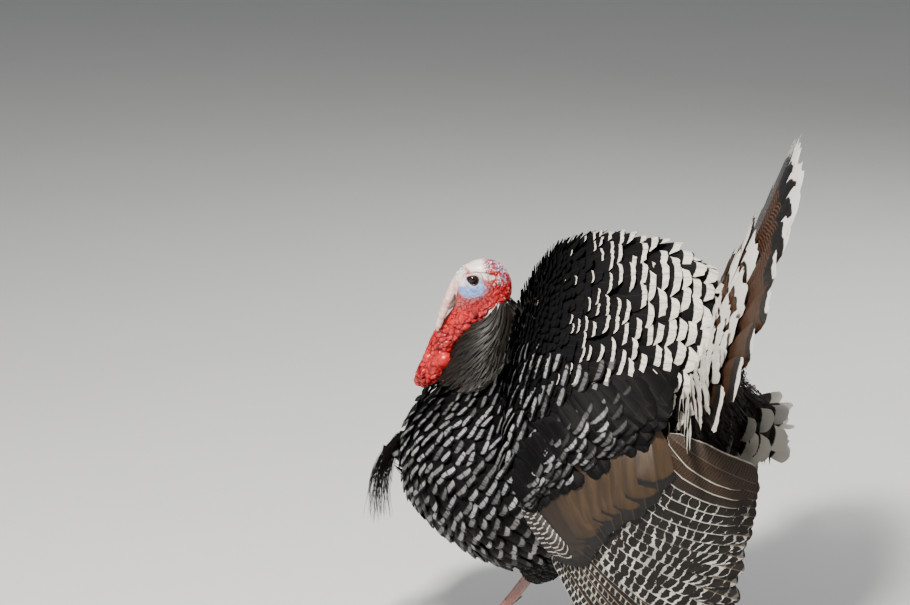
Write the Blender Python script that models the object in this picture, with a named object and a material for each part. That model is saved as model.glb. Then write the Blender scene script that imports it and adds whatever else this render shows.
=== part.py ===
"""A wild turkey tom in full strut, life size: a still museum model.

The bird faces -Y and stands on z = 0 with its left side at +X. Its feathered bulk is modelled as the outer
surface of the plumage. Every piece is one closed solid with a small gap to the next.
"""

import math

import bmesh
import bpy
import numpy as np

# ---- Driving sizes, in metres --------------------------------------------------------------------
GAP = 0.0004
RING_SIDES = 22

# Trunk: y, height of the back, height of the belly, half width, and how high the widest place is, as a share
TRUNK_STATIONS = (
    (-0.2800, 0.342, 0.300, 0.026, 0.50),
    (-0.2740, 0.376, 0.268, 0.066, 0.50),
    (-0.2540, 0.412, 0.234, 0.110, 0.48),
    (-0.2150, 0.438, 0.198, 0.146, 0.46),
    (-0.1650, 0.450, 0.168, 0.170, 0.46),
    (-0.1220, 0.480, 0.150, 0.182, 0.45),
    (-0.1040, 0.562, 0.146, 0.186, 0.41),
    (-0.0830, 0.602, 0.142, 0.188, 0.39),
    (-0.0450, 0.645, 0.137, 0.190, 0.38),
    (0.0150, 0.664, 0.132, 0.190, 0.37),
    (0.0850, 0.660, 0.136, 0.184, 0.37),
    (0.1450, 0.640, 0.152, 0.168, 0.38),
    (0.1900, 0.600, 0.188, 0.138, 0.42),
    (0.2220, 0.520, 0.236, 0.094, 0.46),
    (0.2340, 0.450, 0.290, 0.042, 0.50),
)
TRUNK_RINGS = 19
TRUNK_PEAK = 0.20
WAIST_HEIGHT = 0.410
BREAST_END = -0.020

# Tail fan: it leans back from its root
TAIL_ROOT = np.array((0.0, 0.157, 0.444))
TAIL_LEAN = math.radians(21.5)
TAIL_SPREAD = math.radians(87.0)
TAIL_FEATHERS = 18
TAIL_HUB = 0.034
# Each half of the fan is swept back from a narrow middle part by this slope
TAIL_SWEEP = 0.085
TAIL_CREASE = 0.03
TAIL_LENGTHS = (0.404, 0.328)
TAIL_THICKNESS = (0.0060, 0.0022)
COVERT_FEATHERS = 13
COVERT_LENGTHS = (0.268, 0.226)
COVERT_THICKNESS = (0.0150, 0.0030)
COVERT_SPREAD = 0.97 * TAIL_SPREAD
RUMP_GAP = 0.0035
TAIL_NOTCH = 0.010
COVERT_NOTCH = 0.016

# Feathers under the tail
UNDERTAIL_CENTRE = np.array((0.0, 0.178, 0.398))
UNDERTAIL_LENGTHS = (0.150, 0.128)
UNDERTAIL_SPREAD = math.radians(72.0)
UNDERTAIL_DIP = math.radians(11.0)
UNDERTAIL_FEATHERS = 9
UNDERTAIL_NOTCH = 0.014
UNDERTAIL_ROOT = 0.030
UNDERTAIL_SIDE_DROOP = 0.04
UNDERTAIL_THICKNESS = (0.022, 0.050)

# Wing, as y, z: the line that it grows from, the line where its coverts end, and the line of its tips
WING_ROOTS = (
    (-0.068, 0.292),
    (-0.067, 0.306),
    (-0.064, 0.322),
    (-0.028, 0.346),
    (0.036, 0.386),
    (0.110, 0.425),
)
WING_COVERT_ENDS = (
    (-0.010, 0.235),
    (0.020, 0.232),
    (0.038, 0.262),
    (0.062, 0.284),
    (0.108, 0.324),
    (0.158, 0.426),
)
WING_TIPS = (
    (0.135, -0.004),
    (0.190, 0.002),
    (0.232, 0.090),
    (0.245, 0.205),
    (0.258, 0.285),
    (0.262, 0.342),
)
WING_FEATHERS = 20
PRIMARIES = 9
WING_OUT = 0.214
WING_TOP_IN = 0.034
WING_REAR_IN = 0.052
WING_FRONT_IN = 0.016
WING_FLARE = 0.030
WING_COVERT_BULGE = 0.012
WING_COVERT_THICKNESS = 0.024
WING_THICKNESS = (0.0060, 0.0024)
WING_NOTCH = 0.045
ROW_END_GAP = 0.0012
SHOULDER_START = 0.30
SHOULDER_BULGE = 0.014
SHOULDER_THICKNESS = 0.030
SHOULDER_UPPER = ((-0.080, 0.336), (-0.060, 0.408), (-0.004, 0.466), (0.072, 0.494), (0.148, 0.492))

# Head and neck
HEAD_CENTRE = np.array((0.0, -0.1560, 0.5870))
HEAD_PITCH = math.radians(38.0)
HEAD_LENGTH = 0.090
HEAD_HEIGHT = 0.066
HEAD_WIDTH = 0.049
EYE_RADIUS = 0.0078
EYE_PLACE = np.array((0.0178, -0.1690, 0.5965))
BILL_LENGTH = 0.033
BILL_DROOP = -0.04
BILL_ROOT = np.array((0.0, -0.184, 0.570))
# The snood hangs from the forehead past the left side of the bill; its girth goes by the share of its length
SNOOD_PATH = (
    (0.0040, -0.1800, 0.6060),
    (0.0090, -0.1935, 0.5920),
    (0.0150, -0.2060, 0.5660),
    (0.0175, -0.2155, 0.5400),
    (0.0170, -0.2230, 0.5140),
)
SNOOD_GIRTH = ((0, 0.3, 0.8, 0.95, 1), (0.0085, 0.0078, 0.0060, 0.0046, 0.0016))
NECK_PATH = ((0.0, -0.134, 0.566), (0.0, -0.136, 0.530), (0.0, -0.147, 0.490), (0.0, -0.158, 0.424))
NECK_GIRTH = (0.026, 0.070)
THROAT_PATH = ((0.0, -0.156, 0.566), (0.0, -0.180, 0.533), (0.0, -0.203, 0.504), (0.0, -0.226, 0.466))
THROAT_GIRTH = ((0, 0.3, 0.6, 0.9, 1), (0.0250, 0.0215, 0.0190, 0.0215, 0.0180))
CARUNCLES_PLACE = (0.0, -0.2355, 0.4480)
CARUNCLES_RADII = (0.0230, 0.0175, 0.0300)
CARUNCLES_TURN = -0.60

# The beard hangs from the middle of the breast
BEARD_PATH = ((0.012, -0.276, 0.352), (0.013, -0.298, 0.318), (0.014, -0.312, 0.270), (0.014, -0.314, 0.205))
BEARD_GIRTH = ((0, 0.3, 0.75, 1), (0.006, 0.009, 0.014, 0.005))
BEARD_FLATTEN = 0.55

# Legs: hock and foot of each side, as x, y, z
LEGS = {
    "left": ((0.078, -0.072, 0.160), (0.086, -0.184, 0.018)),
    "right": ((-0.078, 0.036, 0.158), (-0.086, -0.026, 0.018)),
}
THIGH_GIRTH = ((0, 0.4, 0.8, 1), (0.050, 0.050, 0.034, 0.014))
SHANK_GIRTH = ((0, 0.15, 0.3, 0.8, 1), (0.0108, 0.0092, 0.0074, 0.0077, 0.0092))
SPUR_PLACE = 0.36
SPUR_REACH = np.array((0.014, 0.024, 0.0))
PAD_RADII = (0.0135, 0.0150, 0.0100)
TOE_RADIUS = 0.0075
TOES = {"inner": (0.078, 26.0), "middle": (0.104, 0.0), "outer": (0.082, -27.0), "hind": (0.040, 178.0)}
CLAW_LENGTH = 0.017

BLACK_BRONZE = (0.030, 0.024, 0.020)
VELVET = (0.012, 0.011, 0.012)
IVORY = (0.62, 0.56, 0.47)
CHESTNUT = (0.16, 0.085, 0.045)
DOWN_BROWN = (0.085, 0.066, 0.052)
BARRED = (0.22, 0.20, 0.18)
RED_SKIN = (0.55, 0.06, 0.05)
PALE_SKIN = (0.62, 0.66, 0.78)
LEG_PINK = (0.42, 0.24, 0.19)
HORN = (0.30, 0.25, 0.20)
NECK_BROWN = (0.05, 0.043, 0.038)


# ---- Making objects ------------------------------------------------------------------------------
def clear_scene():
    """Removes the objects and collections that a new scene comes with."""
    for obj in list(bpy.data.objects):
        bpy.data.objects.remove(obj, do_unlink=True)
    for collection in list(bpy.data.collections):
        bpy.data.collections.remove(collection)


def new_collection(name):
    collection = bpy.data.collections.new(name)
    bpy.context.scene.collection.children.link(collection)
    return collection


def material(name, colour, roughness=0.6, metallic=0.0):
    """A Principled material, made once for each name."""
    found = bpy.data.materials.get(name)
    if found:
        return found
    made = bpy.data.materials.new(name)
    made.use_nodes = True
    shader = made.node_tree.nodes["Principled BSDF"]
    shader.inputs["Base Color"].default_value = (*colour, 1.0)
    shader.inputs["Roughness"].default_value = roughness
    shader.inputs["Metallic"].default_value = metallic
    return made


def mesh_from(points, faces, name):
    """A mesh of points and faces, its normals turned outwards."""
    mesh = bpy.data.meshes.new(name)
    mesh.from_pydata([tuple(p) for p in points], [], faces)
    grid = bmesh.new()
    grid.from_mesh(mesh)
    bmesh.ops.remove_doubles(grid, verts=grid.verts, dist=1e-6)
    bmesh.ops.recalc_face_normals(grid, faces=grid.faces)
    bmesh.ops.triangulate(grid, faces=grid.faces)
    grid.to_mesh(mesh)
    grid.free()
    mesh.shade_smooth()
    mesh.set_sharp_from_angle(angle=math.radians(50))
    return mesh


def add_piece(name, mesh, finish):
    """A named piece of the bird, from its mesh and its material."""
    piece = bpy.data.objects.new(name, mesh)
    if not mesh.materials:
        mesh.materials.append(finish)
    BIRD.objects.link(piece)
    return piece


def add_cutter(name, mesh):
    """A hidden helper that shapes other pieces."""
    cutter = bpy.data.objects.new(name, mesh)
    cutter.hide_render = True
    cutter.display_type = "WIRE"
    CUTTERS.objects.link(cutter)
    return cutter


def clearance(piece, by=GAP):
    """A hidden copy of a piece with its surface moved out by the gap."""
    name = piece.name + "_clearance"
    found = bpy.data.objects.get(name)
    if found:
        return found
    cutter = add_cutter(name, piece.data)
    push = cutter.modifiers.new("move_out", "DISPLACE")
    push.strength = by
    push.mid_level = 0.0
    return cutter


def combine(piece, operation, *others):
    """Puts a Boolean on a piece for each of the other objects."""
    for other in others:
        step = piece.modifiers.new(f"{operation.lower()}_{other.name}", "BOOLEAN")
        step.operation = operation
        step.object = other
        step.solver = "EXACT"


def box_cutter(name, low, high):
    """A box between two corners."""
    low, high = np.array(low), np.array(high)
    grid = bmesh.new()
    bmesh.ops.create_cube(grid, size=1.0)
    for vert in grid.verts:
        vert.co = (low + high) / 2 + np.array(vert.co) * (high - low)
    mesh = bpy.data.meshes.new(name)
    grid.to_mesh(mesh)
    grid.free()
    return add_cutter(name, mesh)


# ---- Shapes --------------------------------------------------------------------------------------
def smooth_path(points, count):
    """Count points along a Catmull-Rom curve through the given ones, even in their number."""
    points = np.asarray(points, float)
    padded = np.vstack((2 * points[0] - points[1], points, 2 * points[-1] - points[-2]))
    place = np.linspace(0, len(points) - 1, count)
    start = np.minimum(place.astype(int), len(points) - 2)
    t = (place - start)[:, None]
    a, b, c, d = (padded[start + i] for i in range(4))
    square = (2 * a - 5 * b + 4 * c - d) * t**2
    cube = (3 * b - a - 3 * c + d) * t**3
    return 0.5 * (2 * b + (c - a) * t + square + cube)


def loft_mesh(rings, name):
    """A closed tube through rings of equal length, with a flat face at each end."""
    rings = np.asarray(rings)
    count, sides, _ = rings.shape
    faces = [tuple(range(sides)), tuple(range((count - 1) * sides, count * sides))]
    for start in range(0, (count - 1) * sides, sides):
        for j in range(sides):
            k = (j + 1) % sides
            faces.append((start + j, start + k, start + sides + k, start + sides + j))
    return mesh_from(rings.reshape(-1, 3), faces, name)


def slab_mesh(outer, inner, name):
    """A closed slab between two grids of points of the same size."""
    rows, columns, _ = outer.shape
    index = np.arange(rows * columns).reshape(rows, columns)
    back = index + rows * columns
    rim = np.concatenate((index[0, :-1], index[:-1, -1], index[-1, :0:-1], index[:0:-1, 0]))
    faces = []
    for i in range(rows - 1):
        for j in range(columns - 1):
            faces.append((index[i, j], index[i + 1, j], index[i + 1, j + 1], index[i, j + 1]))
            faces.append((back[i, j], back[i, j + 1], back[i + 1, j + 1], back[i + 1, j]))
    for a, b in zip(rim, np.roll(rim, -1)):
        faces.append((a, b, b + rows * columns, a + rows * columns))
    points = np.concatenate((outer.reshape(-1, 3), inner.reshape(-1, 3)))
    return mesh_from(points, faces, name)


def ellipsoid_mesh(centre, radii, name, segments=16, rings=10, turn=0.0):
    """An ellipsoid, turned about X."""
    grid = bmesh.new()
    bmesh.ops.create_uvsphere(grid, u_segments=segments, v_segments=rings, radius=1.0)
    cos, sin = math.cos(turn), math.sin(turn)
    for vert in grid.verts:
        x, y, z = (c * r for c, r in zip(vert.co, radii))
        vert.co = np.array(centre) + (x, y * cos - z * sin, y * sin + z * cos)
    mesh = bpy.data.meshes.new(name)
    grid.to_mesh(mesh)
    grid.free()
    mesh.shade_smooth()
    return mesh


def tube_mesh(path, radii, name, sides=12, flatten=1.0):
    """A tube along a path, each ring square to it; flatten narrows the rings sideways."""
    path, radii = np.asarray(path, float), np.asarray(radii, float)
    along = np.gradient(path, axis=0)
    along /= np.linalg.norm(along, axis=1)[:, None]
    upright = np.abs(along[:, 2]).mean() > 0.7
    side = np.cross(along, (0.0, 1.0, 0.0) if upright else (0.0, 0.0, 1.0))
    side /= np.linalg.norm(side, axis=1)[:, None]
    up = np.cross(side, along)
    turn = np.linspace(0, 2 * math.pi, sides, endpoint=False)
    rings = path[:, None] + radii[:, None, None] * (
        flatten * np.cos(turn)[None, :, None] * side[:, None] + np.sin(turn)[None, :, None] * up[:, None]
    )
    return loft_mesh(rings, name)


def scallop(feathers, steps, depth):
    """Places across a row of feathers, and how far each is drawn back: 0 at a quill, depth between quills."""
    across = np.linspace(0, feathers, feathers * steps + 1)
    off = np.abs(across % 1 - 0.5) * 2
    return across / feathers, depth * off**2.5


# ---- Trunk ---------------------------------------------------------------------------------------
def trunk_mesh():
    """The plumage's outer surface: egg-shaped rings across the body from breast to vent."""
    stations = smooth_path(TRUNK_STATIONS, TRUNK_RINGS)
    turn = np.linspace(0, 2 * math.pi, RING_SIDES, endpoint=False)
    y, back, belly, half, widest = (stations[:, i, None] for i in range(5))
    middle = belly + widest * (back - belly)
    reach = np.where(np.sin(turn) > 0, back - middle, middle - belly)
    narrow = 1 - TRUNK_PEAK * np.clip(np.sin(turn), 0, 1) ** 2
    rings = np.stack((half * np.cos(turn) * narrow, y + 0 * turn, middle + reach * np.sin(turn)), axis=-1)
    return loft_mesh(rings, "trunk")


def trunk_half_width(y, z):
    """Half the width of the trunk at a place on its side."""
    stations = smooth_path(TRUNK_STATIONS, 200)
    back, belly, half, widest = (np.interp(y, stations[:, 0], stations[:, i]) for i in range(1, 5))
    middle = belly + widest * (back - belly)
    reach = np.where(z > middle, back - middle, middle - belly)
    rise = np.clip((z - middle) / reach, -1, 1)
    return half * np.sqrt(1 - rise**2) * (1 - TRUNK_PEAK * np.clip(rise, 0, 1) ** 2)


def tail_point(across, up, out):
    """A point in the tail fan's own frame: across the fan, up along it, and out of its front."""
    sin, cos = math.sin(TAIL_LEAN), math.cos(TAIL_LEAN)
    swept = TAIL_SWEEP * np.clip(np.abs(across) - TAIL_CREASE, 0, None)
    y = TAIL_ROOT[1] + up * sin - out * cos + swept
    z = TAIL_ROOT[2] + up * cos + out * sin
    return np.stack(np.broadcast_arrays(across, y, z), axis=-1)


def behind_fan_cutter(name, out):
    """A large slab that holds all that lies behind the fan's surface, moved out of its front by out."""
    across = np.array((-1.0, -TAIL_CREASE, TAIL_CREASE, 1.0))
    up = np.array(((-1.0,), (1.0,)))
    outer, inner = (tail_point(across, up, depth + 0 * up) for depth in (out, out - 1))
    return add_cutter(name, slab_mesh(outer, inner, name))


def make_trunk():
    """Breast, belly and mantle, cut from one surface, and the down at the root of the tail."""
    whole = trunk_mesh()
    feather = material("breast_feather", BLACK_BRONZE, 0.38, 0.2)
    velvet = material("mantle_feather", VELVET, 0.55)
    regions = {
        "breast": ((-1, -1, -1), (1, BREAST_END - GAP / 2, WAIST_HEIGHT - GAP)),
        "belly": ((-1, BREAST_END + GAP / 2, -1), (1, 1, WAIST_HEIGHT - GAP)),
        "mantle": ((-1, -1, WAIST_HEIGHT), (1, 1, 1)),
    }
    for name, (low, high) in regions.items():
        mesh = whole.copy()
        piece = add_piece(name, mesh, velvet if name == "mantle" else feather)
        combine(piece, "INTERSECT", box_cutter(name + "_region", low, high))
    behind_coverts = behind_fan_cutter("behind_coverts", COVERT_THICKNESS[0] + 2 * GAP)
    combine(bpy.data.objects["mantle"], "DIFFERENCE", behind_coverts)
    rump = add_piece("rump", whole.copy(), material("down", DOWN_BROWN, 0.9))
    combine(rump, "INTERSECT", behind_fan_cutter("behind_fan", -TAIL_THICKNESS[0] - RUMP_GAP))
    combine(rump, "INTERSECT", box_cutter("rump_region", (-1, -1, WAIST_HEIGHT), (1, 1, 1)))
    return whole


# ---- Tail ----------------------------------------------------------------------------------------
def fan_slab(name, feathers, spread, lengths, front, thickness, notch):
    """A spread fan of feathers with rounded tips: rays from the tail's root, longest in the middle."""
    place, drawn = scallop(feathers, 3, notch)
    angle = (place * 2 - 1) * spread
    share = np.abs(place * 2 - 1) ** 1.6
    length = (lengths[0] + (lengths[1] - lengths[0]) * share) - drawn
    along = np.linspace(0, 1, 3)[:, None]
    radius = TAIL_HUB + along * (length - TAIL_HUB)
    wall = thickness[0] + (thickness[1] - thickness[0]) * along**0.6
    across, up = radius * np.sin(angle), radius * np.cos(angle)
    outer = tail_point(across, up, front + 0 * wall)
    inner = tail_point(across, up, front - wall)
    return slab_mesh(outer, inner, name)


def make_tail():
    """The long tail feathers and the coverts in front of them."""
    fan = fan_slab("tail_fan", TAIL_FEATHERS, TAIL_SPREAD, TAIL_LENGTHS, 0.0, TAIL_THICKNESS, TAIL_NOTCH)
    add_piece("tail_fan", fan, material("rectrix", CHESTNUT, 0.5))
    front = COVERT_THICKNESS[0] + GAP
    fan = fan_slab(
        "tail_coverts", COVERT_FEATHERS, COVERT_SPREAD, COVERT_LENGTHS, front, COVERT_THICKNESS, COVERT_NOTCH
    )
    add_piece("tail_coverts", fan, material("tail_covert", IVORY, 0.55))


def make_undertail():
    """The feathers under the tail, spread level behind the body and drooping to each side."""
    place, drawn = scallop(UNDERTAIL_FEATHERS, 3, UNDERTAIL_NOTCH)
    angle = (place * 2 - 1) * UNDERTAIL_SPREAD
    to_side = np.abs(place * 2 - 1) ** 1.4
    along = np.linspace(0, 1, 3)[:, None]
    reach = UNDERTAIL_LENGTHS[0] + (UNDERTAIL_LENGTHS[1] - UNDERTAIL_LENGTHS[0]) * to_side - drawn
    radius = UNDERTAIL_ROOT + along * (reach - UNDERTAIL_ROOT)
    drop = radius * (math.tan(UNDERTAIL_DIP) + UNDERTAIL_SIDE_DROOP * to_side)
    x, y = radius * np.sin(angle), UNDERTAIL_CENTRE[1] + radius * np.cos(angle)
    z = UNDERTAIL_CENTRE[2] - drop
    half_wall = (UNDERTAIL_THICKNESS[0] + (UNDERTAIL_THICKNESS[1] - UNDERTAIL_THICKNESS[0]) * along) / 2
    outer = np.stack(np.broadcast_arrays(x, y, z + half_wall), axis=-1)
    inner = np.stack(np.broadcast_arrays(x, y, z - half_wall), axis=-1)
    under = slab_mesh(outer, inner, "undertail_coverts")
    under = add_piece("undertail_coverts", under, material("undertail", DOWN_BROWN, 0.6))
    combine(under, "DIFFERENCE", clearance(bpy.data.objects["trunk_shape"]))
    combine(under, "DIFFERENCE", clearance(bpy.data.objects["rump"]))


# ---- Wings ---------------------------------------------------------------------------------------
def wing_side(y, z):
    """How far the wing's outer face stands from the mid-plane."""
    top = np.clip((z - 0.34) / 0.15, 0, 2) ** 2
    rear = np.clip((y - 0.02) / 0.24, 0, 2) ** 2
    front = np.clip((-0.015 - y) / 0.06, 0, 2) ** 2
    hang = np.clip((0.34 - z) / 0.34, 0, 1)
    return WING_OUT - WING_TOP_IN * top - WING_REAR_IN * rear - WING_FRONT_IN * front + WING_FLARE * hang


def wing_grid(span, reach):
    """Places on the wing, from the outermost primary to the tertials.

    Reach is 0 at the roots, 1 at the coverts' ends and 2 at the tips.
    """
    fine = np.linspace(0, 1, 241)
    lines = (smooth_path(line, 241) for line in (WING_ROOTS, WING_COVERT_ENDS, WING_TIPS))
    root, end, tip = (np.stack([np.interp(span, fine, line[:, i]) for i in range(2)], axis=-1) for line in lines)
    near, far = np.clip(reach, 0, 1)[..., None], np.clip(reach - 1, 0, 1)[..., None]
    place = root + near * (end - root) + far * (tip - end)
    return place[..., 0], np.maximum(place[..., 1], 0.0)


def side_slab(name, sign, y, z, stand, wall):
    """A slab on the bird's side: its outer face stands off the wing's, its wall stops short of the trunk."""
    out = wing_side(y, z) + stand
    deep = np.maximum(out - wall, np.minimum(trunk_half_width(y, z) + 3 * GAP, out - 0.002))
    outer = np.stack((sign * out, y, z), axis=-1)
    inner = np.stack((sign * deep, y, z), axis=-1)
    return slab_mesh(outer, inner, name)


def flight_feathers(name, side, sign, first, last, finish):
    """Flight feathers from one to another, from under the coverts to their stepped tips."""
    count = last - first
    place, drawn = scallop(count, 3, WING_NOTCH)
    span = (first + place * count) / WING_FEATHERS
    span = span + np.where(place == 0, ROW_END_GAP, 0) - np.where(place == 1, ROW_END_GAP, 0)
    span = np.clip(span, 0, 1)
    along = np.linspace(0, 1, 3)[:, None]
    reach = 1.004 + along * (0.996 - drawn)
    span = np.broadcast_to(span, reach.shape)
    y, z = wing_grid(span, reach)
    wall = WING_THICKNESS[0] + (WING_THICKNESS[1] - WING_THICKNESS[0]) * along
    add_piece(f"{name}_{side}", side_slab(name, sign, y, z, 0.0 * y, wall), finish)


def make_wing(side, sign):
    """Shoulder, coverts, secondaries and primaries of one wing."""
    barred = material("flight_feather", BARRED, 0.5)
    flight_feathers("primaries", side, sign, 0, PRIMARIES, barred)
    flight_feathers("secondaries", side, sign, PRIMARIES, WING_FEATHERS, barred)
    across, along = np.meshgrid(np.linspace(0, 1, 11), np.linspace(0, 1, 5))
    y, z = wing_grid(across, along)
    bulge = WING_COVERT_BULGE * np.sin(math.pi * along)
    coverts = side_slab("wing_coverts", sign, y, z, bulge, WING_COVERT_THICKNESS - 0.014 * along)
    add_piece(f"wing_coverts_{side}", coverts, material("wing_covert", (0.11, 0.075, 0.05), 0.42, 0.2))
    # The shoulder's lower edge runs along the roots of the secondaries, from the wrist to the rump.
    lower = np.stack(wing_grid(np.linspace(SHOULDER_START, 1, 11), np.zeros(11)), axis=-1)
    upper = smooth_path(SHOULDER_UPPER, 11)
    rise = np.linspace(0, 1, 5)[:, None]
    y = lower[:, 0] + rise * (upper[:, 0] - lower[:, 0])
    z = lower[:, 1] + 0.003 + rise * (upper[:, 1] - lower[:, 1])
    bulge = SHOULDER_BULGE * np.sin(math.pi * rise) + 0.002 + 0 * y
    shoulder = side_slab("scapulars", sign, y, z, bulge, SHOULDER_THICKNESS + 0 * y)
    add_piece(f"scapulars_{side}", shoulder, material("scapular", VELVET, 0.4, 0.2))


# ---- Head and neck -------------------------------------------------------------------------------
def head_mesh():
    """Rings along the head from nape to bill root, tallest behind the eye."""
    along = np.cos(np.linspace(math.pi, 0, 10))
    turn = np.linspace(0, 2 * math.pi, 14, endpoint=False)
    girth = np.sqrt(np.clip(1 - along**2, 0.004, 1))
    taper = np.clip(1 - 0.22 * (along + 0.2), 0.7, 1.1)
    height = HEAD_HEIGHT / 2 * girth * taper
    width = HEAD_WIDTH / 2 * girth * np.clip(taper, 0.75, 1.0)
    forward = np.array((0.0, -math.cos(HEAD_PITCH), -math.sin(HEAD_PITCH)))
    upward = np.array((0.0, -math.sin(HEAD_PITCH), math.cos(HEAD_PITCH)))
    centres = HEAD_CENTRE + (along * HEAD_LENGTH / 2)[:, None] * forward
    rings = (
        centres[:, None]
        + (width[:, None] * np.cos(turn))[..., None] * np.array((1.0, 0.0, 0.0))
        + (height[:, None] * np.sin(turn))[..., None] * upward
    )
    return loft_mesh(rings, "head")


def make_head():
    """Skull with its bare skin, eyes, bill and snood."""
    head = add_piece("head", head_mesh(), material("bare_skin", PALE_SKIN, 0.45))
    for side, sign in (("left", 1), ("right", -1)):
        place = EYE_PLACE * (sign, 1, 1)
        ball = ellipsoid_mesh(place, (EYE_RADIUS,) * 3, "eye", 10, 7)
        eye = add_piece(f"eye_{side}", ball, material("eye", (0.02, 0.012, 0.008), 0.08))
        combine(head, "DIFFERENCE", clearance(eye))
    pitch = HEAD_PITCH + BILL_DROOP
    forward = np.array((0.0, -math.cos(pitch), -math.sin(pitch)))
    share = np.linspace(0, 1, 6)[:, None]
    hook = np.array((0.0, 0.0030, -0.0070))
    upper = BILL_ROOT + share * BILL_LENGTH * forward + share**3 * hook
    lower = BILL_ROOT + share * BILL_LENGTH * 0.8 * forward + (0, 0.0080, -0.0075)
    girth = 1 - share[:, 0] ** 1.8
    horn = material("bill", HORN, 0.35)
    bill = add_piece("bill_upper", tube_mesh(upper, 0.0082 * girth + 0.0010, "bill_upper", 10, 0.85), horn)
    jaw = add_piece("bill_lower", tube_mesh(lower, 0.0056 * girth + 0.0008, "bill_lower", 10, 0.9), horn)
    combine(bill, "DIFFERENCE", clearance(head))
    combine(jaw, "DIFFERENCE", clearance(head), clearance(bill))
    count = 10
    girth = np.interp(np.linspace(0, 1, count), *SNOOD_GIRTH)
    snood = tube_mesh(smooth_path(SNOOD_PATH, count), girth, "snood", 8)
    snood = add_piece("snood", snood, material("snood", (0.72, 0.52, 0.48), 0.4))
    combine(snood, "DIFFERENCE", clearance(head), clearance(bill))
    return head


def make_neck(head, trunk):
    """The feathered neck, the bare throat in front of it and the bulbs at its foot."""
    share = np.linspace(0, 1, 10)
    path = smooth_path(NECK_PATH, 10)
    girth = NECK_GIRTH[0] + (NECK_GIRTH[1] - NECK_GIRTH[0]) * share**1.5
    neck = add_piece("neck", tube_mesh(path, girth, "neck", 14), material("neck_feather", NECK_BROWN, 0.75))
    combine(neck, "DIFFERENCE", clearance(head), clearance(trunk))
    red = material("red_skin", RED_SKIN, 0.4)
    path = smooth_path(THROAT_PATH, 9)
    ripple = 1 + 0.06 * np.sin(np.arange(9) * 2.4)
    girth = np.interp(np.linspace(0, 1, 9), *THROAT_GIRTH) * ripple
    throat = add_piece("throat", tube_mesh(path, girth, "throat", 10), red)
    bills = [clearance(bpy.data.objects[name]) for name in ("bill_upper", "bill_lower")]
    combine(throat, "DIFFERENCE", clearance(head), clearance(neck), clearance(trunk), *bills)
    bulbs = ellipsoid_mesh(CARUNCLES_PLACE, CARUNCLES_RADII, "caruncles", 14, 10, CARUNCLES_TURN)
    caruncles = add_piece("caruncles", bulbs, red)
    combine(caruncles, "DIFFERENCE", clearance(throat), clearance(neck), clearance(trunk))


def make_beard(trunk):
    """The coarse tuft that hangs from the breast."""
    girth = np.interp(np.linspace(0, 1, 10), *BEARD_GIRTH)
    tuft = tube_mesh(smooth_path(BEARD_PATH, 10), girth, "beard", 10, BEARD_FLATTEN)
    beard = add_piece("beard", tuft, material("beard", (0.01, 0.009, 0.008), 0.5))
    combine(beard, "DIFFERENCE", clearance(trunk))


# ---- Legs ----------------------------------------------------------------------------------------
def make_toe(name, start, reach, heading):
    """A toe that lies on the floor, with its claw beyond it."""
    turn = math.radians(heading)
    ahead = np.array((math.sin(turn), -math.cos(turn), 0.0))
    share = np.array((0, 0.25, 0.5, 0.75, 0.94, 1))
    height = TOE_RADIUS * np.array((0.85, 0.74, 0.82, 0.70, 0.72, 0.70))
    path = np.array(start) * (1, 1, 0) + share[:, None] * reach * ahead + height[:, None] * (0, 0, 1)
    girth = TOE_RADIUS * np.array((1.0, 0.90, 0.92, 0.82, 0.74, 0.34))
    toe = tube_mesh(path, girth, name, 7)
    tip = path[-1] + ahead * (GAP + 0.0002)
    curve = np.linspace(0, 1, 4)[:, None]
    claw_path = tip + curve * CLAW_LENGTH * ahead - curve**2 * (0, 0, tip[2] - 0.0016)
    claw = tube_mesh(claw_path, (0.0036, 0.0032, 0.0022, 0.0007), name + "_claw", 6, 0.8)
    return toe, claw


def make_foot(side, sign, foot, shank, skin, horn):
    """Pad and four toes, joined and cut level with the floor, with a claw beyond each toe."""
    pad = ellipsoid_mesh(foot * (1, 1, 0) + (0, 0, PAD_RADII[2] - 0.0006), PAD_RADII, "foot", 12, 8)
    body = add_piece(f"foot_{side}", pad, skin)
    for toe_name, (reach, heading) in TOES.items():
        toe, claw = make_toe(f"toe_{toe_name}_{side}", foot, reach, sign * -heading)
        combine(body, "UNION", add_cutter(f"toe_{toe_name}_{side}", toe))
        add_piece(f"claw_{toe_name}_{side}", claw, horn)
    combine(body, "DIFFERENCE", clearance(shank), box_cutter(f"floor_{side}", (-1, -1, -1), (1, 1, 0)))


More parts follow.
